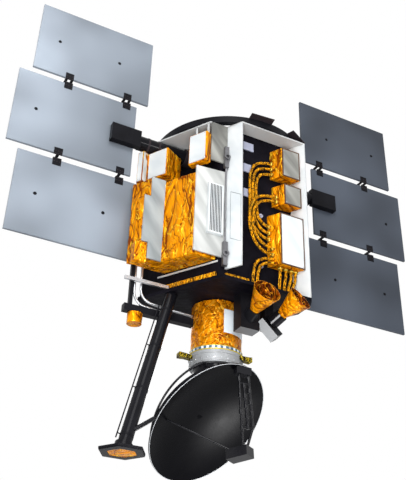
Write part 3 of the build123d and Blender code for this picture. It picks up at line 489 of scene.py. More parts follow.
def foil_skin(name, voxel, depth, seed, material):
    skin = new_object("foil_" + name, nodes[name].data.copy())
    skin.modifiers.new("weld", "WELD").merge_threshold = WELD_GAP
    remesh = skin.modifiers.new("remesh", "REMESH")
    remesh.mode = "VOXEL"
    remesh.voxel_size = voxel
    graph = bpy.context.evaluated_depsgraph_get()
    mesh = bpy.data.meshes.new_from_object(skin.evaluated_get(graph))
    skin.modifiers.clear()
    skin.data = mesh
    points = vertex_rows(mesh, "co")
    rise = crumple(points, seed, CRUMPLE_SIZES)
    rise = (rise - rise.min()) / (rise.max() - rise.min())
    points = points + vertex_rows(mesh, "normal") * (FOIL_OUT - depth * (1 - rise))[:, None]
    mesh.vertices.foreach_set("co", points.ravel())
    mesh.materials.clear()
    mesh.materials.append(material)
    for face in mesh.polygons:
        face.use_smooth = True
    mesh.update()
    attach(skin, body_of_node[name])
    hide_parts(name)
    return skin


def is_hanger(face):
    return face.center.z > HANGER_Z and face.center.y < HANGER_Y


def add_foil():
    for seed, (name, (voxel, depth)) in enumerate(FOIL_SKINS.items()):
        skin = foil_skin(name, voxel, depth, seed, MATERIALS[FOIL_FINISH.get(name, "gold")])
        if name == "face_boxes":
            add_face_material(skin, "deck_grey", is_hanger)


# Star tracker cups: thin foil cones, bright outside and brown inside, the inside a darker copy of the foil
# for painted shade.
# rim centre, outward axis, length, base radius, rim radius
CUPS = (
    ((-0.072, -0.740, -1.571), (0.009, -0.923, 0.411), 0.185, 0.037, 0.105),
    ((0.203, -0.740, -1.557), (0.352, -0.814, 0.459), 0.184, 0.037, 0.098),
)
CUP_RINGS = 36
CUP_SIDES = 96
CUP_WALL = 0.003
CUP_DENT = 0.005
CUP_CRUMPLE_SIZES = (0.05, 0.028)
CUP_BASE_SHARE = 0.2
CUP_SEED = 20


def cup_points(cup, inset, seed):
    """Rings of points on a crumpled cone, from its base to its rim."""
    rim, axis, length, base_r, rim_r = cup
    axis = Vector(axis).normalized()
    turn = axis.to_track_quat("Z", "Y").to_matrix()
    start = Vector(rim) - axis * length
    flat = []
    for ring in range(CUP_RINGS + 1):
        share = ring / CUP_RINGS
        radius = base_r + (rim_r - base_r) * share - inset
        for side in range(CUP_SIDES):
            angle = 2 * math.pi * side / CUP_SIDES
            spot = Vector((radius * math.cos(angle), radius * math.sin(angle), length * share))
            flat.append(start + turn @ spot)
    points = np.array(flat)
    fade = np.repeat(np.linspace(CUP_BASE_SHARE, 1, CUP_RINGS + 1), CUP_SIDES)
    away = points - np.array(start)
    away -= np.outer(away @ np.array(axis), np.array(axis))
    away /= np.linalg.norm(away, axis=1)[:, None]
    dent = CUP_DENT * fade * (1 - crumple(points, seed, CUP_CRUMPLE_SIZES))
    return points - away * dent[:, None]


def strip_between(low, high):
    """Faces from one ring of points to the next, given the number of each ring's first point."""
    faces = []
    for side in range(CUP_SIDES):
        after = (side + 1) % CUP_SIDES
        faces.append([low + side, low + after, high + after, high + side])
    return faces


def add_cups():
    """Both cups in one mesh. Each has an outer wall, an inner wall turned round, a rim and a floor."""
    vertices, faces, inner_faces = [], [], set()
    for number, cup in enumerate(CUPS):
        for inset in (0.0, CUP_WALL):
            start = len(vertices)
            vertices.extend(cup_points(cup, inset, CUP_SEED + number).tolist())
            wall = []
            for ring in range(CUP_RINGS):
                wall += strip_between(start + ring * CUP_SIDES, start + (ring + 1) * CUP_SIDES)
            if inset:
                for face in wall:
                    face.reverse()
                inner_faces.update(range(len(faces), len(faces) + len(wall)))
                wall += strip_between(start - CUP_SIDES, start + CUP_RINGS * CUP_SIDES)
            faces += wall
        inner_faces.add(len(faces))
        faces.append([start + side for side in range(CUP_SIDES)])
    mesh = bpy.data.meshes.new("foil_cups")
    mesh.from_pydata(vertices, [], faces)
    mesh.materials.append(MATERIALS["gold"])
    # The inner walls take the darker copy of the foil: painted shade inside the cups.
    mesh.materials.append(MATERIALS["cup_inside_shade"])
    for face in mesh.polygons:
        face.material_index = 1 if face.index in inner_faces else 0
    cups = new_object("foil_cups", mesh)
    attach(cups, "bus")
    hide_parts("tracker_cups")


# Small fittings, gathered into one mesh for each body and finish.
SQUARE = ((-1, -1), (1, -1), (1, 1), (-1, 1))
BOLT_SUNK = 0.001
# heights and radii of a bolt's washer and head, as shares of the head's own height and radius
WASHER = ((0.2, 1.5), (0.3, 1.4))
HEAD = ((0.0, 1.0), (0.85, 1.0), (1.0, 0.85))


def flat_way(angle):
    return Vector((math.cos(angle), math.sin(angle), 0.0))


def around(step, count):
    """The flat direction after some of the count steps that make a full turn."""
    return flat_way(2 * math.pi * step / count)


class Trim:
    """Collects small shapes and turns them into one piece."""

    def __init__(self):
        self.mesh = bmesh.new()

    def bridge(self, first, second):
        count = len(first)
        for step in range(count):
            after = (step + 1) % count
            self.mesh.faces.new((first[step], first[after], second[after], second[step]))

    def tube(self, rings):
        """A closed skin over a row of rings."""
        for first, second in zip(rings, rings[1:]):
            self.bridge(first, second)
        self.mesh.faces.new(list(reversed(rings[0])))
        self.mesh.faces.new(rings[-1])

    def ring_of(self, centre, across, up, radius, sides):
        ways = [around(step, sides) * radius for step in range(sides)]
        return [self.mesh.verts.new(centre + across * way.x + up * way.y) for way in ways]

    def turned(self, centre, axis, profile, sides):
        """A turned shape: profile is pairs of height along the axis and radius."""
        centre, axis = Vector(centre), Vector(axis).normalized()
        turn = axis.to_track_quat("Z", "Y").to_matrix()
        self.tube([self.ring_of(centre + axis * height, turn.col[0], turn.col[1], radius, sides)
                   for height, radius in profile])

    def bolt(self, centre, axis, radius, height):
        """A hexagonal head on a washer."""
        washer = [(height * rise, radius * wide) for rise, wide in WASHER]
        head = [(height * rise, radius * wide) for rise, wide in HEAD]
        sunk_edge = (-BOLT_SUNK, washer[0][1])
        self.turned(centre, axis, [sunk_edge] + washer, sides=16)
        self.turned(centre, axis, head, sides=6)

    def hoop(self, centre, axis, radius, wire, sides=96, wire_sides=8):
        """A round wire or bead bent into a circle."""
        centre, axis = Vector(centre), Vector(axis).normalized()
        turn = axis.to_track_quat("Z", "Y").to_matrix()
        rings = []
        for step in range(sides):
            out = turn @ around(step, sides)
            rings.append(self.ring_of(centre + out * radius, out, axis, wire, wire_sides))
        for step in range(sides):
            self.bridge(rings[step], rings[(step + 1) % sides])

    def wire(self, points, radius, sides=8):
        """A thin round wire through points, each joint mitred."""
        points = [Vector(point) for point in points]
        rings = []
        for step, point in enumerate(points):
            before = points[max(step - 1, 0)]
            after = points[min(step + 1, len(points) - 1)]
            turn = (after - before).normalized().to_track_quat("Z", "Y").to_matrix()
            rings.append(self.ring_of(point, turn.col[0], turn.col[1], radius, sides))
        self.tube(rings)

    def slab(self, centre, along, up, size, chamfer=0.001):
        """A flat plate with chamfered edges: size is its run, its rise and its thickness."""
        centre, along, up = Vector(centre), Vector(along).normalized(), Vector(up).normalized()
        run, rise, thick = size
        out = along.cross(up)
        rings = []
        for height, inset in ((0.0, 0.0), (thick - chamfer, 0.0), (thick, chamfer)):
            corners = [along * (sx * (run / 2 - inset)) + up * (sy * (rise / 2 - inset)) for sx, sy in SQUARE]
            rings.append([self.mesh.verts.new(centre + out * height + corner) for corner in corners])
        self.tube(rings)

    def border(self, centre, along, up, size, width, thick):
        """Four strips round a rectangle."""
        centre, along, up = Vector(centre), Vector(along).normalized(), Vector(up).normalized()
        run, rise = size
        for way in (-1, 1):
            self.slab(centre + up * (way * (rise - width) / 2), along, up, (run, width, thick))
            self.slab(centre + along * (way * (run - width) / 2), along, up, (width, rise - 2 * width, thick))

    def finish(self, name, body, slot, material, smooth=False):
        bmesh.ops.recalc_face_normals(self.mesh, faces=self.mesh.faces)
        mesh = bpy.data.meshes.new(name)
        self.mesh.to_mesh(mesh)
        self.mesh.free()
        mesh.materials.append(MATERIALS[material])
        for face in mesh.polygons:
            face.use_smooth = smooth
        piece = new_object(name, mesh)
        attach(piece, body)
        return piece


# Places that the fittings share with the solids: the bus is a hexagon with its front bay set back.
UNDER_Z = -0.072
SIDE = 0.736
APOTHEM = SIDE * math.sqrt(3) / 2
BAY_SET_BACK = 0.122
BAY_Y = BAY_SET_BACK - APOTHEM
# along the left face from its front corner, and straight out of it
ALONG = Vector((-0.5, math.sqrt(3) / 2, 0.0))
OUTWARD = Vector((-math.sqrt(3) / 2, -0.5, 0.0))
CORNER = Vector((-SIDE / 2, -APOTHEM, 0.0))
SEAT_GAP = 0.0003


def on_left(run, out, depth):
    """A place on the left face: along it, out of it and down from the deck's underside."""
    spot = CORNER + ALONG * run + OUTWARD * out
    return Vector((spot.x, spot.y, UNDER_Z - depth))


def face_turn(face):
    """The turn from the left face of the hexagon to another of its six faces."""
    return Matrix.Rotation(math.radians(-60 * face), 3, "Z")


# Wings: their hinge leaves, studs and back wiring.
WING_Y = -0.076
WING_Z = -0.147
PANEL_L, PANEL_H, PANEL_HALF_T = 0.99, 0.69, 0.010
PANEL_PITCH = 0.751
PANEL_FRONT_Y = WING_Y - PANEL_HALF_T
PANEL_BACK_Y = WING_Y + PANEL_HALF_T
# which way the wing goes, and how far out its upper and lower panels start
WING_SIDES = {"left": (-1, 0.814), "right": (1, 0.7215)}
# The middle panel starts this much further out.
MID_OUT = 0.098
HINGE_SHARES = (0.09, 0.597)
STUD_SHARES = (0.29, 0.82)
STUD_PROFILE = ((-0.001, 0.0135), (0.0015, 0.0135), (0.0022, 0.0125))
LEAF_HALF = 0.022
LEAF_T = 0.004
LEAF_FACE_Y = PANEL_FRONT_Y - LEAF_T
LEAF_ROWS = (-0.017, 0.008)
LEAF_PLATE = (0.068, 0.050, 0.0035)
LEAF_BOLT = (0.0035, 0.003)
BACK_WIRES = (-0.21, -0.06, 0.10, 0.24)
BACK_WIRE_R = 0.0022
BACK_WIRE_PROUD = 0.6
BACK_WIRE_Y = PANEL_BACK_Y + BACK_WIRE_R * BACK_WIRE_PROUD
BACK_WIRE_INSET = 0.03
SADDLE = (0.022, 0.03, 0.007)
SADDLE_SUNK = 0.0005


def add_wing_trim():
    for side, (sign, inner) in WING_SIDES.items():
        mid = inner + MID_OUT
        hinges = [mid + share * PANEL_L for share in HINGE_SHARES]
        for level, up in zip(PANEL_LEVELS, (0, 1, -1)):
            outer = level != "middle"
            body = "wing_" + side + ("_" + level + "_panel" if outer else "")
            name = body + "_" + level
            start = inner if outer else mid
            height = WING_Z + up * PANEL_PITCH
            add_leaves(name, body, sign, hinges, height, (-up,) if outer else (1, -1))
            add_studs(name, body, sign, start, height, STUD_SHARES if outer else STUD_SHARES[1:])
            add_back_wires(name, body, sign, start, height)


def add_leaves(name, body, sign, hinges, height, ways):
    """Hinge plates at the panel's edges above (1) or below (-1), and two rows of bolts on their leaves."""
    plates, bolts = Trim(), Trim()
    for way in ways:
        for hinge in hinges:
            plate_z = height + way * (PANEL_H / 2 - LEAF_PLATE[1] / 2)
            plates.slab((sign * hinge, PANEL_FRONT_Y, plate_z), EAST, UP, LEAF_PLATE)
            for row in LEAF_ROWS:
                for step in (-LEAF_HALF, 0.0, LEAF_HALF):
                    spot = (sign * (hinge + step), LEAF_FACE_Y, height + way * (PANEL_H / 2 + row))
                    bolts.bolt(spot, FRONT_WAY, *LEAF_BOLT)
    bolts.finish(name + "_bolts", body, "black_metal", "dark")
    plates.finish(name + "_hinge_plates", body, "black_metal", "black")


def add_studs(name, body, sign, start, height, shares):
    discs = Trim()
    for share in shares:
        spot = (sign * (start + share * PANEL_L), PANEL_FRONT_Y, height)
        discs.turned(spot, FRONT_WAY, STUD_PROFILE, sides=32)
    discs.finish(name + "_discs", body, "black_metal", "black", True)


def add_back_wires(name, body, sign, start, height):
    """Wires along the back of the panel, each with a saddle at both ends."""
    wires = Trim()
    ends = (start + BACK_WIRE_INSET, start + PANEL_L - BACK_WIRE_INSET)
    for row in BACK_WIRES:
        wires.wire([(sign * end, BACK_WIRE_Y, height + row) for end in ends], BACK_WIRE_R)
        for end in ends:
            wires.slab((sign * end, PANEL_BACK_Y - SADDLE_SUNK, height + row), -EAST, UP, SADDLE)
    wires.finish(name + "_wires", body, "black_metal", "dark")


# Framed plates on the boxes: brown edges in the bay, screws on the left face.
# left x, right x, top and bottom depth of each plate in the bay
BAY_PLATES = ((0.157, 0.323, 0.094, 0.370), (0.169, 0.327, 0.440, 0.629), (0.126, 0.337, 0.722, 1.171))
BOX_DEEP = 0.115
BAY_FRONT = BAY_Y - SEAT_GAP - BOX_DEEP * math.sqrt(3) / 2
PLATE_T = 0.006
PLATE_SMALLER = 0.004
EDGE_W = 0.0095
EDGE_PROUD = 0.0012
PLATE_SCREW = (0.0025, 0.002)
BAY_SCREW_IN = 0.018
FACE_SCREW_IN = 0.022
# run pair, stand-off and depth pair of the plates on the left face
FACE_PLATES = (((0.132, 0.300), 0.056, (0.118, 0.400)), ((0.500, 0.690), 0.060, (0.143, 0.410)),
               ((0.6903, 0.752), 0.120, (0.143, 0.446)))
# run, stand-off and depth of the plate on the far side box and of the light strip under the left box, a
# painted edge highlight
FAR_PLATE_AT = (0.6903, 0.096, 0.2945)
FAR_PLATE_SIZE = (0.044, 0.279, 0.003)
HIGHLIGHT_STRIP_AT = (0.363, -0.0860, 1.2295)
HIGHLIGHT_STRIP_SIZE = (0.53, 0.013, 0.006)


def add_plate_trim():
    edges, screws, side, highlight_strip = Trim(), Trim(), Trim(), Trim()
    for left, right, top, low in BAY_PLATES:
        centre = Vector(((left + right) / 2, BAY_FRONT - SEAT_GAP, UNDER_Z - (top + low) / 2))
        run, rise = right - left - PLATE_SMALLER, low - top - PLATE_SMALLER
        edges.border(centre, EAST, UP, (run, rise), EDGE_W, PLATE_T + EDGE_PROUD)
        for sx in (-1, 1):
            for sy in (-1, 1):
                spot = centre + EAST * (sx * (run / 2 - BAY_SCREW_IN)) + UP * (sy * (rise / 2 - BAY_SCREW_IN))
                screws.bolt(spot + FRONT_WAY * (PLATE_T - SEAT_GAP), FRONT_WAY, *PLATE_SCREW)
    for runs, out, depths in FACE_PLATES:
        for run in (runs[0] + FACE_SCREW_IN, runs[1] - FACE_SCREW_IN):
            for depth in (depths[0] + FACE_SCREW_IN, depths[1] - FACE_SCREW_IN):
                screws.bolt(on_left(run, out + PLATE_T, depth), OUTWARD, *PLATE_SCREW)
    side.slab(on_left(*FAR_PLATE_AT), OUTWARD, UP, FAR_PLATE_SIZE)
    # A light grey strip along the left box's lower edge: painted edge highlight.
    highlight_strip.slab(on_left(*HIGHLIGHT_STRIP_AT), -ALONG, UP, HIGHLIGHT_STRIP_SIZE)
    edges.finish("bay_plate_edges", "bus", "grey_paint", "brown")
    side.finish("far_side_plate", "bus", "white_paint", "sheet_white")
    highlight_strip.finish("left_box_highlight_strip", "bus", "grey_paint", "deck_grey")
    screws.finish("plate_screws", "bus", "bare_metal", "metal")


# Cable ends and ties in the front bay. The cables run in two layers, the trunk behind the loops.
CABLE_R = 0.011
CLIP_T = 0.012
LAYER_PITCH = 0.024
TRUNK_Y = BAY_Y - SEAT_GAP - CLIP_T - CABLE_R - SEAT_GAP
LOOP_Y = TRUNK_Y - LAYER_PITCH
# left edge of the box, layer of the cable, depth
PORTS = (
    (0.157, TRUNK_Y, 0.232), (0.157, TRUNK_Y, 0.284), (0.157, TRUNK_Y, 0.336),
    (0.169, LOOP_Y, 0.560), (0.169, LOOP_Y, 0.600), (0.126, TRUNK_Y, 0.944), (0.126, TRUNK_Y, 0.890),
    (0.126, TRUNK_Y, 0.834), (0.126, LOOP_Y, 1.086), (0.126, LOOP_Y, 1.034),
)
TAIL_XS = (0.150, 0.200, 0.248, 0.284)
TAIL_DEPTH = BAY_PLATES[-1][-1]
COLLAR = ((-0.004, 0.016), (0.009, 0.016), (0.010, 0.0185), (0.016, 0.0185), (0.019, 0.0135))
TIE_DEPTHS = (0.44, 0.53, 0.63, 0.70)
TIE_XS = (-0.096, -0.067, -0.038)
LOOP_TIES = ((-0.1105, 0.80), (-0.079, 0.80), (-0.1115, 0.86), (-0.080, 0.86))
TIE_WIRE_R = 0.0022


def add_cable_trim():
    collars, ties = Trim(), Trim()
    for left, y, depth in PORTS:
        back = (y - BAY_FRONT) * 2 / math.sqrt(3)
        collars.turned((left - back / 2, y, UNDER_Z - depth), -EAST, COLLAR, sides=20)
    for x in TAIL_XS:
        collars.turned((x, LOOP_Y, UNDER_Z - TAIL_DEPTH), -UP, COLLAR, sides=20)
    trunk_ties = [(x, TRUNK_Y, depth) for depth in TIE_DEPTHS for x in TIE_XS]
    for x, y, depth in trunk_ties + [(x, LOOP_Y, depth) for x, depth in LOOP_TIES]:
        ties.hoop((x, y, UNDER_Z - depth), UP, CABLE_R, TIE_WIRE_R, sides=20, wire_sides=6)
    collars.finish("cable_collars", "bus", "gold_foil", "rim_gold", True)
    ties.finish("cable_ties", "bus", "black_metal", "black", True)


# Drum: white patch, segmented band, yellow bead and the ribs of the skirt.
DRUM_AT = Vector((-0.158, -0.157, 0.0))
DRUM_R, BAND_R = 0.189, 0.193
DRUM_LOW = -1.861
BAND_H = 0.029
SKIRT_TOP = DRUM_LOW - BAND_H
SKIRT_H = 0.089
SKIRT_TOP_R, SKIRT_LOW_R = 0.200, 0.189
SHEET_HALF_T = 0.0015
PATCH_ANGLES = (-101.0, -20.0)
PATCH_Z = (-1.758, -1.575)
PATCH_STEPS = 40
SEGMENTS = 60
# how far down the band the segments end and start
SEGMENT_SHARES = (0.82, 0.12)
SEGMENT_Z = [DRUM_LOW - BAND_H * share for share in SEGMENT_SHARES]
BAND_COLOURS = ("band", "patch", "band", "metal", "band", "patch")
# how deep a bead or rib sits in its surface, and the radius of its wire
SKIRT_BEAD = (0.001, 0.0045)
DRUM_BEAD = (0.0005, 0.003)
SKIRT_RIB = (0.001, 0.0035)
RIB_SHARES = (0.30, 0.88)
SKIRT_BOLTS = 24
SKIRT_BOLT_SHARE = 0.69
SKIRT_BOLT_OUT = 0.1915
SKIRT_BOLT = (0.004, 0.004)


def arc_sheet(name, angles, z_pair, radius, steps, choose):
    """A thin curved sheet round the drum; choose gives the material for each step."""
    vertices, faces = [], []
    for step in range(steps + 1):
        way = flat_way(math.radians(angles[0] + (angles[1] - angles[0]) * step / steps))
        for reach in (radius - SHEET_HALF_T, radius + SHEET_HALF_T):
            for z in z_pair:
                spot = DRUM_AT + way * reach
                vertices.append((spot.x, spot.y, z))
    for step in range(steps):
        here, there = step * 4, step * 4 + 4
        faces += [(here + 2, there + 2, there + 3, here + 3), (here, here + 1, there + 1, there),
                  (here, there, there + 2, here + 2), (here + 1, here + 3, there + 3, there + 1)]
    faces += [(0, 2, 3, 1), (steps * 4, steps * 4 + 1, steps * 4 + 3, steps * 4 + 2)]
    mesh = bpy.data.meshes.new(name)
    mesh.from_pydata(vertices, [], faces)
    sheet = new_object(name, mesh)
    names = list(dict.fromkeys(choose(step) for step in range(steps)))
    for material in names:
        mesh.materials.append(MATERIALS[material])
    for index, face in enumerate(mesh.polygons):
        face.material_index = names.index(choose(min(index // 4, steps - 1)))
    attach(sheet, "bus")
    return sheet


def segment_colour(step):
    """Each segment of the band is two steps long."""
    return BAND_COLOURS[step // 2 % len(BAND_COLOURS)]


def add_drum_trim():
    patch = arc_sheet("drum_patch", PATCH_ANGLES, PATCH_Z, DRUM_R, PATCH_STEPS, lambda step: "patch")
    band = arc_sheet("band_segments", (0.0, 360.0), SEGMENT_Z, BAND_R, SEGMENTS * 2, segment_colour)
    bead, ribs, bolts = Trim(), Trim(), Trim()
    bead.hoop(DRUM_AT + UP * SKIRT_TOP, UP, SKIRT_TOP_R - SKIRT_BEAD[0], SKIRT_BEAD[1])
    bead.hoop(DRUM_AT + UP * DRUM_LOW, UP, BAND_R - DRUM_BEAD[0], DRUM_BEAD[1])
    for share in RIB_SHARES:
        radius = SKIRT_TOP_R + (SKIRT_LOW_R - SKIRT_TOP_R) * share
        ribs.hoop(DRUM_AT + UP * (SKIRT_TOP - SKIRT_H * share), UP, radius - SKIRT_RIB[0], SKIRT_RIB[1])
    for step in range(SKIRT_BOLTS):
        way = around(step, SKIRT_BOLTS)
        spot = DRUM_AT + way * SKIRT_BOLT_OUT + UP * (SKIRT_TOP - SKIRT_H * SKIRT_BOLT_SHARE)
        bolts.bolt(spot, way, *SKIRT_BOLT)
    bead.finish("drum_beads", "bus", "gold_foil", "rim_gold", True)
    ribs.finish("skirt_ribs", "bus", "bare_metal", "skirt", True)
    bolts.finish("skirt_bolts", "bus", "bare_metal", "metal")


# Bolts along the top deck and the ring, the hatch on the deck, and the screws of the rear radiators.
DECK_TOP = -0.060
RING_BOLTS = 24
RING_BOLT_R = 0.629
RING_LEDGE = -0.052
RING_BOLT = (0.007, 0.007)
DECK_BOLTS = 9
DECK_BOLT_IN = 0.018
DECK_BOLT = (0.005, 0.004)
# The deck's notched corner has no bolts: it is in front of this y and left of this x.
NOTCH_DEEP = 0.13
NOTCH_Y = -APOTHEM + NOTCH_DEEP
NOTCH_X = -0.2
HATCH_RINGS = (0.22, 0.54)
HATCH_SPOKES = 12
HATCH_WIRE_R = 0.0016
HATCH_BOLT_R = 0.205
HATCH_BOLT = (0.004, 0.003)
REAR_FACES = range(1, 5)
RADIATOR_OUT = 0.006
RADIATOR_RUNS = (0.11, 0.282, 0.454, 0.626)
RADIATOR_DEPTHS = (0.45, 0.61, 0.78, 0.95, 1.11)
RADIATOR_SCREW = (0.005, 0.003)
# The seams lie this deep under the radiators' skin. Their run is negative, so the chamfer lengthens it.
SEAM_SUNK = 0.0004
SEAM_SIZE = (-0.54, 0.004, 0.0009)
SEAM_CHAMFER = 0.0002


def add_deck_trim():
    bolts, screws, lines = Trim(), Trim(), Trim()
    for step in range(RING_BOLTS):
        bolts.bolt(around(step + 0.5, RING_BOLTS) * RING_BOLT_R + UP * RING_LEDGE, UP, *RING_BOLT)
    for face in range(6):
        for step in range(DECK_BOLTS):
            run = SIDE * (step + 0.5) / DECK_BOLTS
            spot = face_turn(face) @ (CORNER + ALONG * run - OUTWARD * DECK_BOLT_IN)
            if spot.y > NOTCH_Y or spot.x > NOTCH_X:
                bolts.bolt((spot.x, spot.y, DECK_TOP), UP, *DECK_BOLT)
    for face in REAR_FACES:
        add_radiator_trim(screws, lines, face_turn(face))
    add_hatch(bolts, lines)
    bolts.finish("deck_bolts", "bus", "bare_metal", "metal")
    screws.finish("radiator_bolts", "bus", "bare_metal", "metal")
    lines.finish("radiator_seams", "bus", "grey_paint", "grey")


def add_radiator_trim(screws, lines, turn):
    """Screws along the top and the bottom of one rear radiator, and seams under its skin."""
    out, along = turn @ OUTWARD, turn @ ALONG
    for run in RADIATOR_RUNS:
        for depth in (RADIATOR_DEPTHS[0], RADIATOR_DEPTHS[-1]):
            spot = turn @ (CORNER + ALONG * run + OUTWARD * RADIATOR_OUT)
            screws.bolt(spot + UP * (UNDER_Z - depth), out, *RADIATOR_SCREW)
    centre = turn @ (CORNER + ALONG * (SIDE / 2) + OUTWARD * (RADIATOR_OUT - SEAM_SUNK))
    for depth in RADIATOR_DEPTHS[1:-1]:
        lines.slab(centre + UP * (UNDER_Z - depth), along, UP, SEAM_SIZE, SEAM_CHAMFER)


def add_hatch(bolts, lines):
    """Two rings on the top deck with spokes between them and a ring of bolts."""
    middle = Vector((0.0, 0.0, DECK_TOP))
    for radius in HATCH_RINGS:
        lines.hoop(middle, UP, radius, HATCH_WIRE_R, wire_sides=6)
    for step in range(HATCH_SPOKES):
        way = around(step, HATCH_SPOKES)
        lines.wire([middle + way * radius for radius in HATCH_RINGS], HATCH_WIRE_R, sides=6)
        bolts.bolt(middle + way * HATCH_BOLT_R, UP, *HATCH_BOLT)


# Mast: a wire beside it on clamps, in the place of the solid conduit, and the border of its pad.
MAST_TOP = Vector((-0.556, -0.205, -1.497))
MAST_FOOT = Vector((-0.930, -0.450, -2.742))
MAST_R = 0.044
MAST_WIRE_OUT = 0.063
MAST_WIRE_ENDS = (0.062, 1.185)
MAST_WIRE_R = 0.0045
CLAMP_SHARES = (0.03, 0.35, 0.67, 0.97)
CLAMP_SUNK = 0.002
CLAMP_R = 0.004
CLAMP_BAND = ((-0.009, MAST_R + 0.001), (0.009, MAST_R + 0.001))
PAD_BORDER = (0.097, 0.150)
PAD_LOW = -0.0205
PAD_BORDER_H = 0.007


def add_mast_wire():
    way = (MAST_TOP - MAST_FOOT).normalized()
    across = (way * way.dot(EAST) - EAST).normalized()
    wire = Trim()
    low, high = (MAST_FOOT + way * end for end in MAST_WIRE_ENDS)
    wire.wire([low + across * MAST_WIRE_OUT, high + across * MAST_WIRE_OUT], MAST_WIRE_R)
    for share in CLAMP_SHARES:
        spot = low + (high - low) * share
        wire.wire([spot + across * (MAST_R - CLAMP_SUNK), spot + across * MAST_WIRE_OUT], CLAMP_R)
        wire.turned(spot, way, CLAMP_BAND, sides=40)
    piece = wire.finish("mast_wire", "bus", "black_metal", "black")
    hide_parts("mast_conduit")


def add_pad_border():
    """Six strips round the mast's hexagonal pad."""
    pad = Trim()
    for step in range(6):
        here, there = around(step, 6), around(step + 1, 6)
        inner, outer = PAD_BORDER
        outline = (here * inner, here * outer, there * outer, there * inner)
        pad.tube([[pad.mesh.verts.new(MAST_FOOT + corner + UP * height) for corner in outline]
                  for height in (PAD_LOW, PAD_LOW + PAD_BORDER_H)])
    pad.finish("pad_border", "bus", "black_metal", "black")


# Dish: its light edge, the arc behind it and the sleeves on the feed's tubes.
DISH_CENTRE = Vector((-0.127, -0.015, -2.326))
DISH_WAY = Vector((0.316, -0.642, -0.698)).normalized()
DISH_EDGE_R = 0.4872
DISH_EDGE_WIRE_R = 0.0024
# degrees round the dish, from its right side over its top
ARC_FROM, ARC_TO = -30.0, 50.0
ARC_STEPS = 40
ARC_WIRE_R = 0.008
# radius of the arc and its distance behind the rim, at both ends
ARC_R = (0.480, 0.468)
ARC_BACK = (0.012, 0.100)
LEG_IN_R = 0.40
LEG_BACK = 0.055
# x and depth at each end
FEED_TUBES = ((-0.060, 1.975, -0.022, 2.500), (-0.020, 2.031, 0.014, 2.353), (0.014, 1.975, 0.052, 2.339))
FEED_Y = -0.325
SLEEVE_SHARES = (0.06, 0.28, 0.5, 0.72, 0.94)
SLEEVE = ((-0.016, 0.0125), (0.016, 0.0125))


def arc_points():
    """The arc's points behind the dish, and the end of the leg that it rests on."""
    up = (UP - DISH_WAY * DISH_WAY.dot(UP)).normalized()
    right = DISH_WAY.cross(up)
    points = []
    for step in range(ARC_STEPS + 1):
        share = step / ARC_STEPS
        angle = math.radians(ARC_FROM + (ARC_TO - ARC_FROM) * share)
        out = right * math.cos(angle) + up * math.sin(angle)
        back = ARC_BACK[0] + (ARC_BACK[1] - ARC_BACK[0]) * math.sin(math.pi / 2 * share)
        radius = ARC_R[0] + (ARC_R[1] - ARC_R[0]) * share
        points.append(DISH_CENTRE - DISH_WAY * back + out * radius)
    return points + [DISH_CENTRE - DISH_WAY * LEG_BACK + out * LEG_IN_R]


def add_dish_trim():
    edge, arc, feed = Trim(), Trim(), Trim()
    edge.hoop(DISH_CENTRE, DISH_WAY, DISH_EDGE_R, DISH_EDGE_WIRE_R, sides=160)
    arc.wire(arc_points(), ARC_WIRE_R, sides=12)
    for x_top, top, x_low, low in FEED_TUBES:
        first = Vector((x_top, FEED_Y, UNDER_Z - top))
        last = Vector((x_low, FEED_Y, UNDER_Z - low))
        for share in SLEEVE_SHARES:
            feed.turned(first + (last - first) * share, last - first, SLEEVE, sides=20)
    edge.finish("dish_edge", "antenna", "rim_grey", "rim", True)
    arc.finish("dish_back_arc", "antenna", "black_metal", "tube", True)
    feed.finish("feed_sleeves", "antenna", "black_metal", "tube")


# Rings on the hinge post, the lines of a pressed panel on the corner fin, and collars on the booms.
EYE_AT = ((-0.3061, -0.5574, -0.390), (-0.3061, -0.5574, -1.250))
EYE_R = 0.0195
EYE_WIRE_R = 0.0062
# corners of the pressed panel
FIN_LINES = ((-0.268, -0.553, -0.700), (-0.223, -0.631, -0.755), (-0.223, -0.631, -1.160),
             (-0.268, -0.553, -1.110))
FIN_LINE_R = 0.0018
BOOM_R = 0.062
BOOM_COLLAR = ((-0.007, BOOM_R + 0.003), (0.007, BOOM_R + 0.003))
BOOM_COLLAR_XS = {"left": (-0.70, -0.79), "right": (0.66, 0.715)}


def add_rigging():
    rings, lines = Trim(), Trim()
    for eye in EYE_AT:
        rings.hoop(eye, FRONT_WAY, EYE_R, EYE_WIRE_R, sides=40, wire_sides=10)
    for first, second in zip(FIN_LINES, FIN_LINES[1:] + FIN_LINES[:1]):
        lines.wire([first, second], FIN_LINE_R, sides=6)
    lines.finish("fin_lines", "bus", "white_paint", "steel")
    rings.finish("post_rings", "bus", "black_metal", "black", True)
    for side, places in BOOM_COLLAR_XS.items():
        boom = Trim()
        for x in places:
            boom.turned((x, WING_Y, WING_Z), EAST, BOOM_COLLAR, sides=48)
        boom.finish("boom_collars_" + side, "wing_" + side, "black_metal", "dark")


def add_trim():
    add_rigging()
    add_mast_wire()
    add_pad_border()
    add_dish_trim()
    add_wing_trim()
    add_plate_trim()
    add_cable_trim()
    add_drum_trim()
    add_deck_trim()


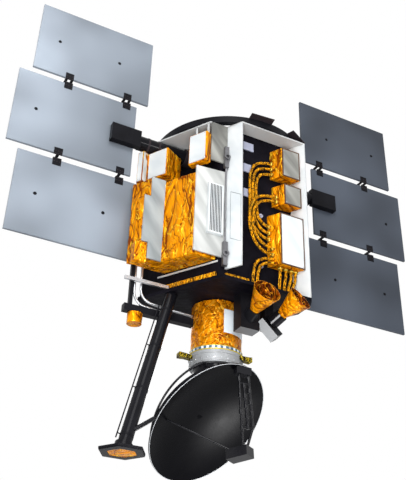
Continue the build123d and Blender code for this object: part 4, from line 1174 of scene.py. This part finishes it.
# Light: soft lamps, a pale floor, and a world that is white where rays show it as a background.
# place, aim, size and power
LAMPS = {
    "key": ((-3.2, -6.2, 0.6), (0.0, -0.3, -0.9), 2.2, 235.0),
    "low_fill": ((-2.6, -3.6, -3.9), (-0.3, -0.3, -1.0), 2.4, 190.0),
    "panel_glow": ((-2.5, -6.1, 5.2), (-1.4, 0.0, -0.1), 4.6, 270.0),
    "dish_spot": ((1.24, -0.30, -3.68), (0.063, 0.126, -2.249), 0.26, 20.0),
    "front": ((1.6, -6.5, -1.6), (0.1, -0.4, -0.8), 1.2, 90.0),
    "back": ((2.0, 5.0, 1.5), (0.0, 0.3, -1.0), 4.0, 240.0),
}
WORLD_TONE = (0.8, 0.82, 0.85, 1.0)
WORLD_STRENGTH = 0.22
WHITE = (1.0, 1.0, 1.0, 1.0)
FLOOR_Z = -6.6
FLOOR_HALF = 30.0
FLOOR_GLOW = 0.55
FLOOR_TONES = ((0.3, (0.72, 0.72, 0.72)), (0.7, (0.76, 0.76, 0.76)))


def seen_rays(tree):
    """One for the rays that show a background: straight, mirrored or passed through."""
    rays = tree.nodes.new("ShaderNodeLightPath")
    seen = rays.outputs["Is Camera Ray"]
    for kind in ("Is Glossy Ray", "Is Transmission Ray"):
        seen = combine(tree, "MAXIMUM", seen, rays.outputs[kind])
    return seen


def add_lamps():
    for name, (place, aim, size, power) in LAMPS.items():
        data = bpy.data.lights.new(name, "AREA")
        data.size = size
        data.energy = power
        lamp = new_object(name, data)
        lamp.location = place
        lamp.rotation_euler = (Vector(aim) - Vector(place)).to_track_quat("-Z", "Y").to_euler()


def add_world():
    world = bpy.data.worlds.new("world")
    bpy.context.scene.world = world
    world.use_nodes = True
    tree = world.node_tree
    plain = tree.nodes["Background"]
    fill(plain, {"Color": WORLD_TONE, "Strength": WORLD_STRENGTH})
    white = tree.nodes.new("ShaderNodeBackground")
    fill(white, {"Color": WHITE, "Strength": 1.0})
    mix = tree.nodes.new("ShaderNodeMixShader")
    for socket, output in enumerate((seen_rays(tree), plain.outputs[0], white.outputs[0])):
        tree.links.new(output, mix.inputs[socket])
    tree.links.new(mix.outputs[0], tree.nodes["World Output"].inputs["Surface"])


def floor_material():
    look = Shader("pale_floor", rough=0.8)
    look.colour(look.ramp(look.noise(5.0, detail=5.0), FLOOR_TONES))
    fill(look.shader, {"Emission Color": WHITE})
    look.link(look.span(seen_rays(look.tree), 0.0, FLOOR_GLOW), look.shader.inputs["Emission Strength"])
    return look.material


def add_floor():
    mesh = bpy.data.meshes.new("floor")
    corners = [(sx * FLOOR_HALF, sy * FLOOR_HALF, FLOOR_Z) for sx, sy in SQUARE]
    mesh.from_pydata(corners, [], [(0, 1, 2, 3)])
    mesh.materials.append(floor_material())
    floor = new_object("floor", mesh)


add_camera()
add_lamps()
add_world()
bpy.context.scene.view_settings.view_transform = "Standard"
add_floor()
paint_nodes()
add_foil()
add_cups()
add_trim()
